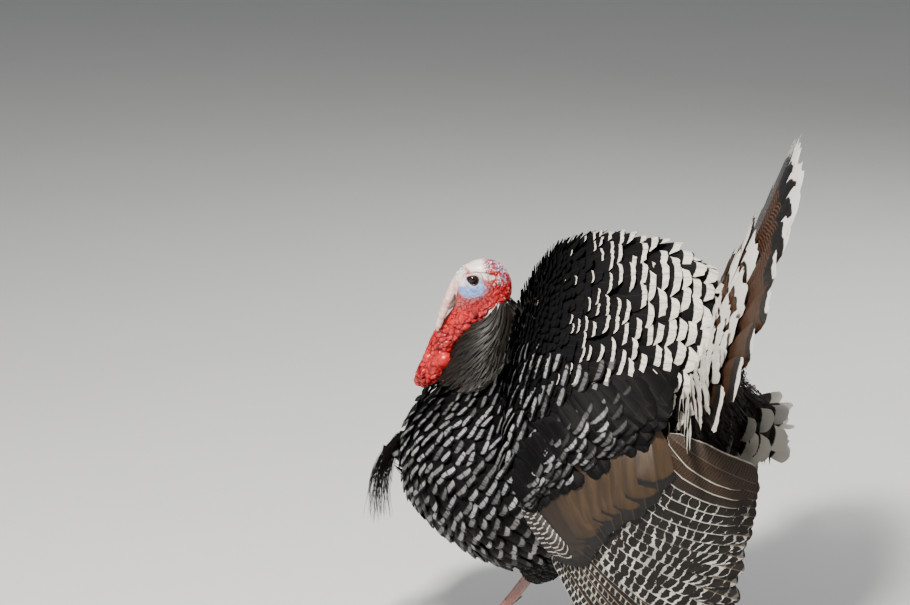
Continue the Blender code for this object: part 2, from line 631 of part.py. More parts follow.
def make_leg(side, sign, trunk):
    """Feathered thigh, scaled shank with its spur, and the foot."""
    hock, foot = (np.array(p) for p in LEGS[side])
    skin = material("leg_skin", LEG_PINK, 0.5)
    horn = material("claw", HORN, 0.35)
    top = hock + (sign * 0.012, 0.030, 0.062)
    path = smooth_path((top, (top + hock) / 2, hock + (0, 0, -0.012)), 8)
    thigh = tube_mesh(path, np.interp(np.linspace(0, 1, 8), *THIGH_GIRTH), "thigh", 16)
    thigh = add_piece(f"thigh_{side}", thigh, material("thigh_feather", BLACK_BRONZE, 0.7))
    combine(thigh, "DIFFERENCE", clearance(trunk))
    path = smooth_path((hock, hock + (foot - hock) * 0.5 + (0, 0.003, 0), foot), 8)
    shank = tube_mesh(path, np.interp(np.linspace(0, 1, 8), *SHANK_GIRTH), "shank", 10)
    shank = add_piece(f"shank_{side}", shank, skin)
    combine(shank, "DIFFERENCE", clearance(thigh), clearance(trunk))
    make_foot(side, sign, foot, shank, skin, horn)
    share = np.linspace(0, 1, 5)[:, None]
    path = hock + (foot - hock) * SPUR_PLACE + share * SPUR_REACH * (-sign, 1, 1) + share**2 * (0, 0, 0.007)
    spur = tube_mesh(path, 0.0052 * (1 - share[:, 0] ** 1.3) + 0.0007, "spur", 8)
    combine(add_piece(f"spur_{side}", spur, horn), "DIFFERENCE", clearance(shank))


clear_scene()
BIRD = new_collection("wild_turkey")
CUTTERS = new_collection("cutters")
trunk_shape = add_cutter("trunk_shape", make_trunk())
make_tail()
make_undertail()
bird_head = make_head()
make_neck(bird_head, trunk_shape)
make_beard(trunk_shape)
for bird_side, bird_sign in (("left", 1), ("right", -1)):
    make_wing(bird_side, bird_sign)
    make_leg(bird_side, bird_sign, trunk_shape)
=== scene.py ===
"""The looks of a wild turkey tom in full strut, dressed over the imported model's frame.

One skin lies under the plumage. Each feather is a closed, lens-shaped vane, and the feathers of a tract are
one mesh.
The bird faces -Y, stands on z = 0 and has its left side at +X. Lengths are in metres.
"""

import math

import bpy
import numpy as np
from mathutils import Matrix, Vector


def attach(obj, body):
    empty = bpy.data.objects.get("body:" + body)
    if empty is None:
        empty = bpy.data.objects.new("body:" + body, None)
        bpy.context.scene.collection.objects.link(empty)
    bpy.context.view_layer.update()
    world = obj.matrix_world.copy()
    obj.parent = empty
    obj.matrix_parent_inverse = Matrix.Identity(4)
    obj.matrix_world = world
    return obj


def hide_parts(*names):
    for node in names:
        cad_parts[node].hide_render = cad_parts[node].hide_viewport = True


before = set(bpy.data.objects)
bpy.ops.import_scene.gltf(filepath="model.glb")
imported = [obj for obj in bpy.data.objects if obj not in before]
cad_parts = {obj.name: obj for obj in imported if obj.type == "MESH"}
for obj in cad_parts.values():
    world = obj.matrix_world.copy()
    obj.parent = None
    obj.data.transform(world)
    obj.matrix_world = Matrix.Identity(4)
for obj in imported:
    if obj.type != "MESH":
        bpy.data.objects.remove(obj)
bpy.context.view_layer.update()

# Each side's name and the sign of its x
SIDES = (("left", 1), ("right", -1))
X_AXIS, Y_AXIS, Z_AXIS = np.eye(3)


# ---- Sizes shared with the solids ----------------------------------------------------------------
# Trunk: y, height of the back, height of the belly, half width, and how high the widest place is, as a share
TRUNK_STATIONS = (
    (-0.2800, 0.342, 0.300, 0.026, 0.50),
    (-0.2740, 0.376, 0.268, 0.066, 0.50),
    (-0.2540, 0.412, 0.234, 0.110, 0.48),
    (-0.2150, 0.438, 0.198, 0.146, 0.46),
    (-0.1650, 0.450, 0.168, 0.170, 0.46),
    (-0.1220, 0.480, 0.150, 0.182, 0.45),
    (-0.1040, 0.562, 0.146, 0.186, 0.41),
    (-0.0830, 0.602, 0.142, 0.188, 0.39),
    (-0.0450, 0.645, 0.137, 0.190, 0.38),
    (0.0150, 0.664, 0.132, 0.190, 0.37),
    (0.0850, 0.660, 0.136, 0.184, 0.37),
    (0.1450, 0.640, 0.152, 0.168, 0.38),
    (0.1900, 0.600, 0.188, 0.138, 0.42),
    (0.2220, 0.520, 0.236, 0.094, 0.46),
    (0.2340, 0.450, 0.290, 0.042, 0.50),
)
# How much the trunk narrows towards its back, and a place deep inside it
TRUNK_PEAK = 0.20
TRUNK_HEART = np.array((0.0, 0.04, 0.34))

# Tail: where its rays meet, its lean, half its spread, lengths in the middle and at the sides, and how far
# the fan sweeps back for each metre beyond its crease
TAIL_ROOT = np.array((0.0, 0.157, 0.444))
TAIL_LEAN = math.radians(21.5)
TAIL_SPREAD = math.radians(87.0)
TAIL_LENGTHS = (0.404, 0.328)
TAIL_SWEEP = 0.085
TAIL_CREASE = 0.03
TAIL_FEATHERS = 18
COVERT_LENGTHS = (0.268, 0.226)
COVERT_DEPTH = 0.0150
# Rows of coverts before the tail: share of the longest, number, half width
COVERT_ROWS = (
    (1.0, 17, 0.0250),
    (0.82, 17, 0.0215),
    (0.64, 16, 0.0185),
    (0.47, 15, 0.0155),
    (0.34, 13, 0.0130),
)
# Coverts beside the tail: how many in a row, the rows' shares, and length by degrees from the upright
SIDE_COVERTS = 11
SIDE_COVERT_ROWS = (1.0, 0.86, 0.72, 0.58)
SIDE_COVERT_LENGTHS = ((58, 72, 92, 106, 120), (0.235, 0.295, 0.285, 0.195, 0.120))
UNDERTAIL_CENTRE = np.array((0.0, 0.178, 0.398))
UNDERTAIL_LENGTHS = (0.150, 0.128)
UNDERTAIL_SPREAD = math.radians(72.0)
UNDERTAIL_DIP = math.radians(11.0)
UNDERTAIL_SIDE_DROOP = 0.04
# Layers of undertail feathers: share of the longest, number, how far they stand off; and three at each side
UNDERTAIL_LAYERS = ((0.93, 8, 0.026), (1.0, 7, 0.003), (0.92, 6, -0.022))
UNDERTAIL_SIDES = ((46.0, 0.134, -0.004), (57.0, 0.128, -0.002), (68.0, 0.120, 0.002))

# Wing: the lines that the flight feathers grow from, that the coverts end at and that the tips make, as y, z
WING_ROOTS = (
    (-0.068, 0.292),
    (-0.067, 0.306),
    (-0.064, 0.322),
    (-0.028, 0.346),
    (0.036, 0.386),
    (0.110, 0.425),
)
WING_COVERT_ENDS = (
    (-0.010, 0.235),
    (0.020, 0.232),
    (0.038, 0.262),
    (0.062, 0.284),
    (0.108, 0.324),
    (0.158, 0.426),
)
WING_TIPS = (
    (0.135, -0.004),
    (0.190, 0.002),
    (0.232, 0.090),
    (0.245, 0.205),
    (0.258, 0.285),
    (0.262, 0.342),
)
# How far the wing's face stands out, how much it draws in at top, rear and front, and its flare at the foot
WING_OUT = 0.214
WING_TOP_IN = 0.034
WING_REAR_IN = 0.052
WING_FRONT_IN = 0.016
WING_FLARE = 0.030
PRIMARIES = 10
SECONDARIES = 14
PRIMARY_SHARE = 0.45
# Shoulder: where its lower border starts on the wing's root line, its rows, and its upper border
SHOULDER_START = 0.30
SHOULDER_ROWS = 11
SHOULDER_UPPER = ((-0.080, 0.336), (-0.060, 0.408), (-0.004, 0.466), (0.072, 0.494), (0.148, 0.492))

EYE_RADIUS = 0.0078
EYE_PLACE = np.array((0.0178, -0.1690, 0.5965))
HEAD_PITCH = math.radians(38.0)
BILL_PITCH = HEAD_PITCH - 0.04
BILL_ROOT = np.array((0.0, -0.184, 0.570))
BILL_LENGTH = 0.033
SNOOD_PATH = (
    (0.0040, -0.1800, 0.6060),
    (0.0090, -0.1935, 0.5920),
    (0.0150, -0.2060, 0.5660),
    (0.0175, -0.2155, 0.5400),
    (0.0170, -0.2230, 0.5140),
)
# Neck: its line, and the girth of its flesh and of the cape over it, by share of the way down
NECK_PATH = ((0.0, -0.134, 0.566), (0.0, -0.136, 0.530), (0.0, -0.147, 0.490), (0.0, -0.158, 0.424))
NECK_FLESH = ((0, 0.33, 0.66, 1), (0.0195, 0.0265, 0.040, 0.056))
NECK_CAPE = ((0, 0.33, 0.66, 1), (0.0255, 0.034, 0.049, 0.068))
# Border of the bare throat and the feathered neck: a place on it, as y and z, and y for each metre of z
THROAT_BORDER = (-0.118, 0.5617)
THROAT_SLOPE = 1.09
BEARD_PATH = ((0.012, -0.276, 0.352), (0.013, -0.298, 0.318), (0.014, -0.312, 0.270), (0.014, -0.314, 0.205))
BEARD_STRANDS = 260

# Legs: hock and foot of each side, as x, y, z
LEGS = {
    "left": ((0.078, -0.072, 0.160), (0.086, -0.184, 0.018)),
    "right": ((-0.078, 0.036, 0.158), (-0.086, -0.026, 0.018)),
}
THIGH_GIRTH = ((0, 0.4, 0.8, 1), (0.050, 0.050, 0.034, 0.014))
SPUR_PLACE = 0.36
SPUR_REACH = np.array((0.014, 0.024, 0.0))
TOE_RADIUS = 0.0075
TOES = {"inner": (0.078, 26.0), "middle": (0.104, 0.0), "outer": (0.082, -27.0), "hind": (0.040, 178.0)}
CLAW_LENGTH = 0.017

# How deep the skin lies under the plumage, and the side of a small feather's patch on the bake map
COAT_DEPTH = 0.013
BAKE_PATCH = 0.003

CAMERA_TARGET = np.array((0.0, -0.198, 0.555))
CAMERA_AZIMUTH = math.radians(96.5)
CAMERA_ELEVATION = math.radians(15.0)
CAMERA_DISTANCE = 3.8
CAMERA_LENS = 100.3


# ---- Arrays --------------------------------------------------------------------------------------
def smooth_path(points, count):
    """Count points along a Catmull-Rom curve through the given ones, even in their number."""
    points = np.asarray(points, float)
    padded = np.vstack((2 * points[0] - points[1], points, 2 * points[-1] - points[-2]))
    place = np.linspace(0, len(points) - 1, count)
    start = np.minimum(place.astype(int), len(points) - 2)
    t = (place - start)[:, None]
    a, b, c, d = (padded[start + i] for i in range(4))
    square = (2 * a - 5 * b + 4 * c - d) * t**2
    cube = (3 * b - a - 3 * c + d) * t**3
    return 0.5 * (2 * b + (c - a) * t + square + cube)


def unit(vectors):
    """Each vector divided by its length."""
    return vectors / np.maximum(np.linalg.norm(vectors, axis=-1, keepdims=True), 1e-9)


def smoothstep(low, high, value):
    """0 below low and 1 above high, with a smooth rise between."""
    t = np.clip((value - low) / (high - low), 0, 1)
    return t * t * (3 - 2 * t)


def line_at(value, knots, line):
    """The place on a line of points, one at each knot, for values between the knots."""
    return np.stack([np.interp(value, knots, line[:, i]) for i in range(line.shape[1])], axis=-1)


def runs_of(line):
    """The distance from a line's start to each of its points."""
    return np.concatenate(((0,), np.linalg.norm(np.diff(line, axis=0), axis=1).cumsum()))


def share_at(count, steps):
    """Values at even shares of a way, from steps given as shares and values."""
    return np.interp(np.linspace(0, 1, count), *steps)


def hump(value, width):
    """1 where the value is 0, falling off on both sides as a bell."""
    return np.exp(-((value / width) ** 2))


def lattice_value(cells, seed):
    """A repeatable number from 0 to 1 for each cell of a whole-number lattice: a sine hash of its place."""
    mixed = cells @ np.array((127.1, 311.7, 74.7)) + seed * 53.3
    return np.modf(np.abs(np.sin(mixed)) * 43758.5453)[0]


def soft_noise(points, scale, seed=0):
    """Value noise from -1 to 1: lattice values blended by smooth weights over a cell's eight corners."""
    scaled = points / scale
    base = np.floor(scaled)
    t = scaled - base
    t = t * t * (3 - 2 * t)
    total = 0.0
    for corner in np.ndindex(2, 2, 2):
        share = np.prod(np.where(np.array(corner) == 1, t, 1 - t), axis=-1)
        total = total + share * lattice_value(base + corner, seed)
    return 2 * total - 1


def pebbles(points, seed=0):
    """Distance to the nearest of jittered lattice points, and how much farther off the next one is."""
    base = np.floor(points)
    nearest = np.full(points.shape[:-1], 9.0)
    second = nearest.copy()
    for corner in np.ndindex(3, 3, 3):
        cell = base + np.array(corner) - 1
        seat = np.stack([lattice_value(cell, seed + k) for k in range(3)], axis=-1)
        gap = np.linalg.norm(cell + 0.15 + 0.7 * seat - points, axis=-1)
        second = np.minimum(second, np.maximum(gap, nearest))
        nearest = np.minimum(nearest, gap)
    return nearest, second - nearest


# ---- Meshes --------------------------------------------------------------------------------------
def mesh_of(name, points, quads, maps=None, marks=None, smooth_angle=60.0):
    """A mesh from arrays: points, four-sided faces, UV maps and marks, each held per point."""
    mesh = bpy.data.meshes.new(name)
    quads = np.asarray(quads, np.int32)
    mesh.vertices.add(len(points))
    mesh.vertices.foreach_set("co", np.asarray(points, np.float32).ravel())
    mesh.loops.add(quads.size)
    mesh.loops.foreach_set("vertex_index", quads.ravel())
    mesh.polygons.add(len(quads))
    mesh.polygons.foreach_set("loop_start", np.arange(0, quads.size, 4, dtype=np.int32))
    mesh.polygons.foreach_set("loop_total", np.full(len(quads), 4, np.int32))
    mesh.update(calc_edges=True)
    for map_name, values in (maps or {}).items():
        layer = mesh.uv_layers.new(name=map_name)
        layer.data.foreach_set("uv", np.asarray(values, np.float32)[quads.ravel()].ravel())
    for mark_name, values in (marks or {}).items():
        layer = mesh.attributes.new(mark_name, "FLOAT", "POINT")
        layer.data.foreach_set("value", np.asarray(values, np.float32).ravel())
    mesh.shade_smooth()
    if smooth_angle < 180:
        mesh.set_sharp_from_angle(angle=math.radians(smooth_angle))
    return mesh


def add_object(name, data, finish=None):
    """A mesh, lamp or camera as an object of the scene, with its finish if it has one."""
    piece = bpy.data.objects.new(name, data)
    bpy.context.scene.collection.objects.link(piece)
    if finish:
        data.materials.append(finish)
    return piece


def dress(piece, slot, *nodes):
    """The piece rides on the one body and stands for CAD nodes; its slot is not used."""
    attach(piece, "root")
    if nodes:
        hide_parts(*nodes)
    return piece


def tube_rings(path, radii, sides, flatten=1.0):
    """Rings along a path, each square to it: a circle of the given radius, narrowed sideways by flatten."""
    path, radii = np.asarray(path, float), np.asarray(radii, float)
    along = unit(np.gradient(path, axis=0))
    upright = np.abs(along[:, 2]).mean() > 0.7
    side = unit(np.cross(along, (0.0, 1.0, 0.0) if upright else (0.0, 0.0, 1.0)))
    up = np.cross(side, along)
    turn = np.linspace(0, 2 * math.pi, sides, endpoint=False)
    ring = flatten * np.cos(turn)[:, None] * side[:, None] + np.sin(turn)[:, None] * up[:, None]
    return path[:, None] + radii[:, None, None] * ring


def closed_tube(rings):
    """Points and faces of a tube through rings, closed at each end by four-sided faces round its middle."""
    count, sides, _ = rings.shape
    index = np.arange(count * sides).reshape(count, sides)
    beside = np.roll(index, -1, axis=1)
    quads = np.stack((index[:-1], beside[:-1], beside[1:], index[1:]), axis=-1).reshape(-1, 4)
    points = np.concatenate((rings.reshape(-1, 3), rings[[0, -1]].mean(axis=1)))
    caps = [quads]
    for order, middle in ((index[0][::-1], count * sides), (index[-1], count * sides + 1)):
        hub = np.full(sides // 2, middle)
        caps.append(np.stack((order[0::2], order[1::2], np.roll(order, -2)[0::2], hub), -1))
    quads = np.concatenate(caps)
    return points, outward(points, quads)


def outward(points, quads):
    """The faces in the order that makes the volume they close positive."""
    a, b, c, d = (points[quads[:, i]] for i in range(4))
    volume = (np.cross(a, b) * c).sum() + (np.cross(a, c) * d).sum()
    return quads if volume > 0 else quads[:, ::-1]


def joined(*parts):
    """Points and faces of several closed forms as one mesh's."""
    points, quads, start = [], [], 0
    for form_points, form_quads in parts:
        points.append(form_points)
        quads.append(np.asarray(form_quads) + start)
        start += len(form_points)
    return np.concatenate(points), np.concatenate(quads)


def read_vectors(items, field):
    """One vector for each item of a mesh, as rows of an array."""
    vectors = np.empty(len(items) * 3, np.float32)
    items.foreach_get(field, vectors)
    return vectors.reshape(-1, 3).astype(float)


def mesh_points(mesh):
    """The places of a mesh's points."""
    return read_vectors(mesh.vertices, "co")


def mesh_normals(mesh):
    """The normals at a mesh's points."""
    return read_vectors(mesh.vertex_normals, "vector")


def set_points(mesh, points):
    """Moves the mesh's points."""
    mesh.vertices.foreach_set("co", np.asarray(points, np.float32).ravel())
    mesh.update()


def mark_points(mesh, **marks):
    """Marks each point with values that a finish reads by name."""
    for name, values in marks.items():
        layer = mesh.attributes.get(name) or mesh.attributes.new(name, "FLOAT", "POINT")
        layer.data.foreach_set("value", np.asarray(values, np.float32))


def evaluated_mesh(piece):
    """The piece's mesh with its modifiers applied, the object itself removed."""
    graph = bpy.context.evaluated_depsgraph_get()
    mesh = bpy.data.meshes.new_from_object(piece.evaluated_get(graph))
    bpy.data.objects.remove(piece, do_unlink=True)
    return mesh


def fused(name, form, voxel, smoothing):
    """Overlapping closed forms melted into one skin: a voxel remesh, then smoothing."""
    piece = add_object(name, mesh_of(name, *form))
    melt = piece.modifiers.new("melt", "REMESH")
    melt.mode = "VOXEL"
    melt.voxel_size = voxel
    melt.use_smooth_shade = True
    calm = piece.modifiers.new("calm", "SMOOTH")
    calm.factor = 0.5
    calm.iterations = smoothing
    return evaluated_mesh(piece)


# ---- Surfaces that feathers lie on ---------------------------------------------------------------
STATION_LINES = smooth_path(TRUNK_STATIONS, 400)


def trunk_section(y, z):
    """The trunk's half width at y, narrowed towards the back, and how high z lies.

    The height is -1 at the belly, 0 at the widest place and 1 at the back.
    """
    back, belly, half, widest = (np.interp(y, STATION_LINES[:, 0], STATION_LINES[:, i]) for i in range(1, 5))
    middle = belly + widest * (back - belly)
    rise = (z - middle) / np.where(z > middle, back - middle, middle - belly)
    return half * (1 - TRUNK_PEAK * np.clip(rise, 0, 1) ** 2), rise


def trunk_level(points):
    """Below 0 inside the plumage's outer surface and above 0 outside it: the egg-shaped rings' equation."""
    x, y, z = np.moveaxis(points, -1, 0)
    half, rise = trunk_section(y, z)
    beyond = np.maximum(STATION_LINES[0, 0] - y, y - STATION_LINES[-1, 0])
    return np.hypot(x / half, rise) - 1 + 25 * np.clip(beyond, 0, None)


def trunk_side(y, z):
    """Half the trunk's width at a place on its side."""
    half, rise = trunk_section(y, z)
    return half * np.sqrt(np.clip(1 - rise**2, 0, 1))


def trunk_slope(points, step=0.0015):
    """The level's gradient, from central differences."""
    shifts = step * np.eye(3)
    parts = [(trunk_level(points + shift) - trunk_level(points - shift)) / (2 * step) for shift in shifts]
    return np.stack(parts, axis=-1)


def on_trunk(points):
    """Each point carried down the slope to the trunk's surface, and the outward direction there."""
    for _ in range(2):
        slope = trunk_slope(points)
        steep = np.maximum(np.linalg.norm(slope, axis=-1, keepdims=True), 1.0)
        points = points - slope / steep**2 * trunk_level(points)[..., None]
    return points, unit(trunk_slope(points, 0.004))


def crossing(place, inside, outside, level, halvings=30):
    """Where a line of places, from a value inside to one outside, crosses the surface, by halving."""
    for _ in range(halvings):
        middle = (inside + outside) / 2
        within = level(place(middle)) < 0
        inside = np.where(within, middle, inside)
        outside = np.where(within, outside, middle)
    return inside


def swept_back(across):
    """How far the fan is swept back at a place across it: nothing at the crease, then in proportion."""
    return TAIL_SWEEP * np.clip(np.abs(across) - TAIL_CREASE, 0, None)


def tail_point(across, up, out):
    """A point in the tail fan's own frame: across the fan, up along it, and out of its front."""
    sin, cos = math.sin(TAIL_LEAN), math.cos(TAIL_LEAN)
    y = TAIL_ROOT[1] + up * sin - out * cos + swept_back(across)
    z = TAIL_ROOT[2] + up * cos + out * sin
    return np.stack(np.broadcast_arrays(across, y, z), axis=-1)


def behind_fan(points):
    """How far each place lies behind the tail fan's front, along Y."""
    x, y, z = points.T
    return y - TAIL_ROOT[1] - (z - TAIL_ROOT[2]) * math.tan(TAIL_LEAN) - swept_back(x)


TAIL_FRONT = np.array((0.0, -math.cos(TAIL_LEAN), math.sin(TAIL_LEAN)))


def on_tail(points):
    """Places given as across, up and out, set in the fan; the fan's front is outward."""
    placed = tail_point(*np.moveaxis(points, -1, 0))
    return placed, np.broadcast_to(TAIL_FRONT, placed.shape)


def behind_throat(points):
    """How far each place lies behind the border of bare throat and feathered neck, along Y."""
    return points[..., 1] - (THROAT_BORDER[0] + (points[..., 2] - THROAT_BORDER[1]) * THROAT_SLOPE)


def wing_side(y, z):
    """How far the wing's outer face stands from the mid-plane.

    It is the greatest width, less the square of how far a place lies past the top, rear and front lines, and
    more in proportion to how low it lies.
    """
    top = np.clip((z - 0.34) / 0.15, 0, 2) ** 2
    rear = np.clip((y - 0.02) / 0.24, 0, 2) ** 2
    front = np.clip((-0.015 - y) / 0.06, 0, 2) ** 2
    hang = np.clip((0.34 - z) / 0.34, 0, 1)
    return WING_OUT - WING_TOP_IN * top - WING_REAR_IN * rear - WING_FRONT_IN * front + WING_FLARE * hang


def on_wing(sign):
    """Places given as y, z and stand, set on the wing of one side."""

    def place(points):
        y, z = points[..., 0], np.maximum(points[..., 1], 0.0008)
        x = sign * (wing_side(y, z) + points[..., 2])
        placed = np.stack((x, y, z), axis=-1)
        return placed, np.broadcast_to(sign * X_AXIS, placed.shape)

    return place


def on_shoulder(sign):
    """Places given as y, z and stand: on the wing's face, eased into the trunk's side at the upper border."""
    border = smooth_path(SHOULDER_UPPER, 60)

    def place(points):
        y, z = points[..., 0], points[..., 1]
        below = np.interp(y, border[:, 0], border[:, 1]) - z
        trunk = trunk_side(y, z)
        face = trunk + smoothstep(-0.012, 0.050, below) * (np.maximum(wing_side(y, z), trunk) - trunk)
        placed = np.stack((sign * (face + points[..., 2]), y, z), axis=-1)
        return placed, np.broadcast_to(sign * X_AXIS, placed.shape)

    return place


def wing_line(line, share):
    """Points at a share of one of the wing's lines: 0 the outermost primary, 1 the innermost tertial."""
    return line_at(share, np.linspace(0, 1, 241), smooth_path(line, 241))


def on_tube(path, radii):
    """Places given as distance along a path, turn round it and stand off it, set on a tube."""
    fine = smooth_path(path, 160)
    reach = runs_of(fine)
    along = unit(np.gradient(fine, axis=0))
    side = np.broadcast_to(X_AXIS, along.shape)
    front = unit(np.cross(along, side))
    radius = share_at(160, radii)

    def radius_at(where):
        return np.interp(where, reach, radius)

    def place(points):
        where, turn = np.clip(points[..., 0], 0, reach[-1]), points[..., 1]
        centre, lead, aside = (line_at(where, reach, line) for line in (fine, front, side))
        normal = unit(np.sin(turn)[..., None] * aside + np.cos(turn)[..., None] * lead)
        return centre + normal * (radius_at(where) + points[..., 2])[..., None], normal

    return place, reach[-1], radius_at


# ---- Feathers ------------------------------------------------------------------------------------
# Half width along a feather from quill to tip, as shares of its greatest
SHAPES = {
    "square": ((0, 0.08, 0.35, 0.70, 0.90, 0.97, 1.0), (0.10, 0.45, 0.88, 1.0, 0.97, 0.86, 0.62)),
    "round": ((0, 0.08, 0.35, 0.70, 0.88, 0.96, 1.0), (0.10, 0.40, 0.85, 1.0, 0.88, 0.62, 0.25)),
    "hair": ((0, 0.2, 0.7, 1.0), (0.35, 0.9, 1.0, 0.25)),
    "flight": ((0, 0.10, 0.30, 0.75, 0.90, 0.97, 1.0), (0.12, 0.70, 0.96, 1.0, 0.88, 0.62, 0.30)),
    "fan": ((0, 0.10, 0.45, 0.80, 0.95, 1.0), (0.10, 0.30, 0.66, 0.95, 1.0, 0.80)),
    "down": ((0, 0.2, 0.6, 1.0), (0.30, 0.8, 1.0, 0.45)),
}


def vane_quads(rows, columns):
    """Faces of one vane: a front grid, and a back grid that shares its rim."""
    front = np.arange(rows * columns).reshape(rows, columns)
    rim = np.ones((rows, columns), bool)
    rim[1:-1, 1:-1] = False
    back = front.copy()
    back[~rim] = rows * columns + np.arange((~rim).sum())
    quads = [
        np.stack((grid[:-1, :-1], grid[:-1, 1:], grid[1:, 1:], grid[1:, :-1]), axis=-1).reshape(-1, 4)
        for grid in (front, back)
    ]
    return np.concatenate((quads[0], quads[1][:, ::-1])), ~rim


def feathers(
    name,
    finish,
    place,
    roots,
    along,
    across,
    length,
    half_width,
    shape="square",
    lift=(-0.012, 0.001),
    rise=1.0,
    camber=0.15,
    curl=0.0,
    thickness=0.0005,
    tip_round=0.05,
    sweep=0.0,
    tilt=0.0,
    fray=0.03,
    rows=7,
    columns=5,
    seed=1,
    bake=None,
    strips=False,
    marks=None,
):
    """All the feathers of one tract as one mesh of closed lens-shaped vanes.

    A vane is a grid of two parameters: u from quill to tip and v from edge to edge. Its place is
    root + along * length * u + across * (half width * shape(u) * v + sweep * length * u squared), carried to
    the tract's surface by place. It is raised by lift and tilt * v * width, less camber * v squared * width
    and a curl that grows to the tip. Fray roughens edge and tip. The back is the front lowered by a
    thickness that goes to nothing at the rim. The marks, one value for each feather, are held by its points.
    Strips gives each feather a long strip of the bake map, and a small patch otherwise.
    """
    rng = np.random.default_rng(seed)
    count = len(roots)
    measures = (length, half_width, sweep, tilt, camber, *lift)
    length, half_width, sweep, tilt, camber, low, high = (
        np.broadcast_to(np.asarray(measure, float), (count,))[:, None, None] for measure in measures
    )
    u = (np.linspace(0, 1, rows) ** 0.85)[None, :, None]
    v = np.linspace(-1, 1, columns)[None, None, :]
    width = half_width * np.interp(u, *SHAPES[shape])
    ragged = rng.uniform(-1, 1, (count, rows, columns)) * fray
    reach = u - tip_round * np.abs(v) ** 2.5 * smoothstep(0.5, 1.0, u) + ragged * 0.6 * smoothstep(0.8, 1, u)
    spread = width * v * (1 + ragged * (np.abs(v) > 0.9)) + sweep * length * u**2
    flat = (
        roots[:, None, None]
        + along[:, None, None] * (length * reach)[..., None]
        + across[:, None, None] * spread[..., None]
    )
    middle, normal = place(flat)
    height = low + (high - low) * u**rise - camber * v**2 * width + tilt * v * width
    height = height - curl * length * smoothstep(0.72, 1.0, u) ** 2
    height = height + rng.uniform(-1, 1, (count, 1, 1)) * 0.0008 * u
    middle = middle + normal * height[..., None]
    wall = thickness * (1 - 0.75 * np.abs(v)) * (1 - 0.5 * u)
    quads, inner = vane_quads(rows, columns)
    front = middle + normal * (wall / 2)[..., None] * inner[None, :, :, None]
    back = (middle - normal * (wall / 2)[..., None])[:, inner]
    per_vane = rows * columns + int(inner.sum())
    points = np.concatenate((front.reshape(count, -1, 3), back), axis=1).reshape(-1, 3)

    def per_point(values):
        grid = np.broadcast_to(values, (count, rows, columns))
        return np.concatenate((grid.reshape(count, -1), grid[:, inner]), axis=1).ravel()

    def per_feather(values):
        return np.repeat(np.broadcast_to(np.asarray(values, float), (count,)), per_vane)

    row, column = rows // 2, columns // 2
    step_u = middle[:, row + 1, column] - middle[:, row, column]
    step_v = middle[:, row, column + 1] - middle[:, row, column]
    if (np.cross(step_v, step_u) * normal[:, row, column]).sum() < 0:
        quads = quads[:, ::-1]
    quads = (quads[None] + (np.arange(count) * per_vane)[:, None, None]).reshape(-1, 4)
    across_map, along_map = per_point((v + 1) / 2), per_point(u)
    patch = (BAKE_PATCH, BAKE_PATCH)
    if strips:
        bake, patch = strip_places(count)
    elif bake is None:
        bake = bake_places(roots)
    bake_u = per_feather(bake[:, 0]) + (across_map - 0.5) * patch[0]
    bake_v = per_feather(bake[:, 1]) + (along_map - 0.5) * patch[1]
    maps = {"vane": np.stack((across_map, along_map), -1), "OFBake": np.stack((bake_u, bake_v), -1)}
    held = {"tone": per_feather(rng.uniform(0, 1, count)), "from_tip": per_point((1 - u) * length)}
    for mark, values in (marks or {}).items():
        held[mark] = per_feather(values)
    return add_object(name, mesh_of(name, points, quads, maps, held, 70.0), finish)


def bake_places(roots):
    """Each root's place on an unwrap of the body: its turn about the long axis, and front to back."""
    turn = np.arctan2(roots[:, 0], roots[:, 2] - 0.36) / (2 * math.pi) + 0.5
    back = (roots[:, 1] + 0.30) / 0.60
    return np.stack((0.02 + 0.96 * turn, 0.02 + 0.96 * np.clip(back, 0, 1)), axis=-1)


def strip_places(count):
    """Side-by-side strips that fill a square, one for each long feather, and their size."""
    centres = (np.arange(count) + 0.5) / count
    return np.stack((centres, np.full(count, 0.5)), axis=-1), (0.86 / count, 0.96)


def in_surface(heading, normal):
    """A heading brought down into the surface, as a unit vector."""
    return unit(heading - (heading * normal).sum(-1, keepdims=True) * normal)


def shell_rows(pole, squash, radii, spacing, rng, jitter):
    """Roots on the trunk in rows, each row where a shell round the pole meets the surface.

    A shell is a sphere flattened in z by squash. For a turn about the axis through the body, the angle off
    the axis is halved until the shell crosses the trunk. Rows are filled at an even spacing, every other one
    shifted; jitter then moves each root a little along its feather's lie.
    """
    scale = np.array((1.0, 1.0, 1.0 / squash))
    aim = unit(unit(TRUNK_HEART - pole) / scale)
    turn = np.linspace(-math.pi, math.pi, 181)
    ring = np.sin(turn)[:, None] * X_AXIS + np.cos(turn)[:, None] * np.cross(X_AXIS, aim)
    found, row_of = [], []
    for k, radius in enumerate(radii):

        def shell(angle, radius=radius):
            off = np.cos(angle)[:, None] * aim + np.sin(angle)[:, None] * ring
            return pole + radius * off * scale

        line = shell(crossing(shell, np.zeros_like(turn), np.full_like(turn, 1.9), trunk_level))
        runs = runs_of(line)
        number = max(int(runs[-1] / spacing(radius)), 1)
        at = np.arange(number) + 0.5 * (k % 2) + rng.uniform(-0.22, 0.22, number)
        found.append(line_at(np.clip(at, 0, number) * runs[-1] / number, runs, line))
        row_of.append(np.full(number, radius))
    roots, normal = on_trunk(np.concatenate(found))
    lie = in_surface((roots - pole) / scale**2, normal)
    roots = roots + lie * (rng.uniform(-1, 1, len(roots)) * jitter)[:, None]
    return roots, lie, np.cross(lie, normal), np.concatenate(row_of)


def turned(lie, across, rng, most):
    """Each feather turned a little in the surface, by up to most radians."""
    turn = rng.uniform(-most, most, len(lie))[:, None]
    return lie * np.cos(turn) + across * np.sin(turn), across * np.cos(turn) - lie * np.sin(turn)


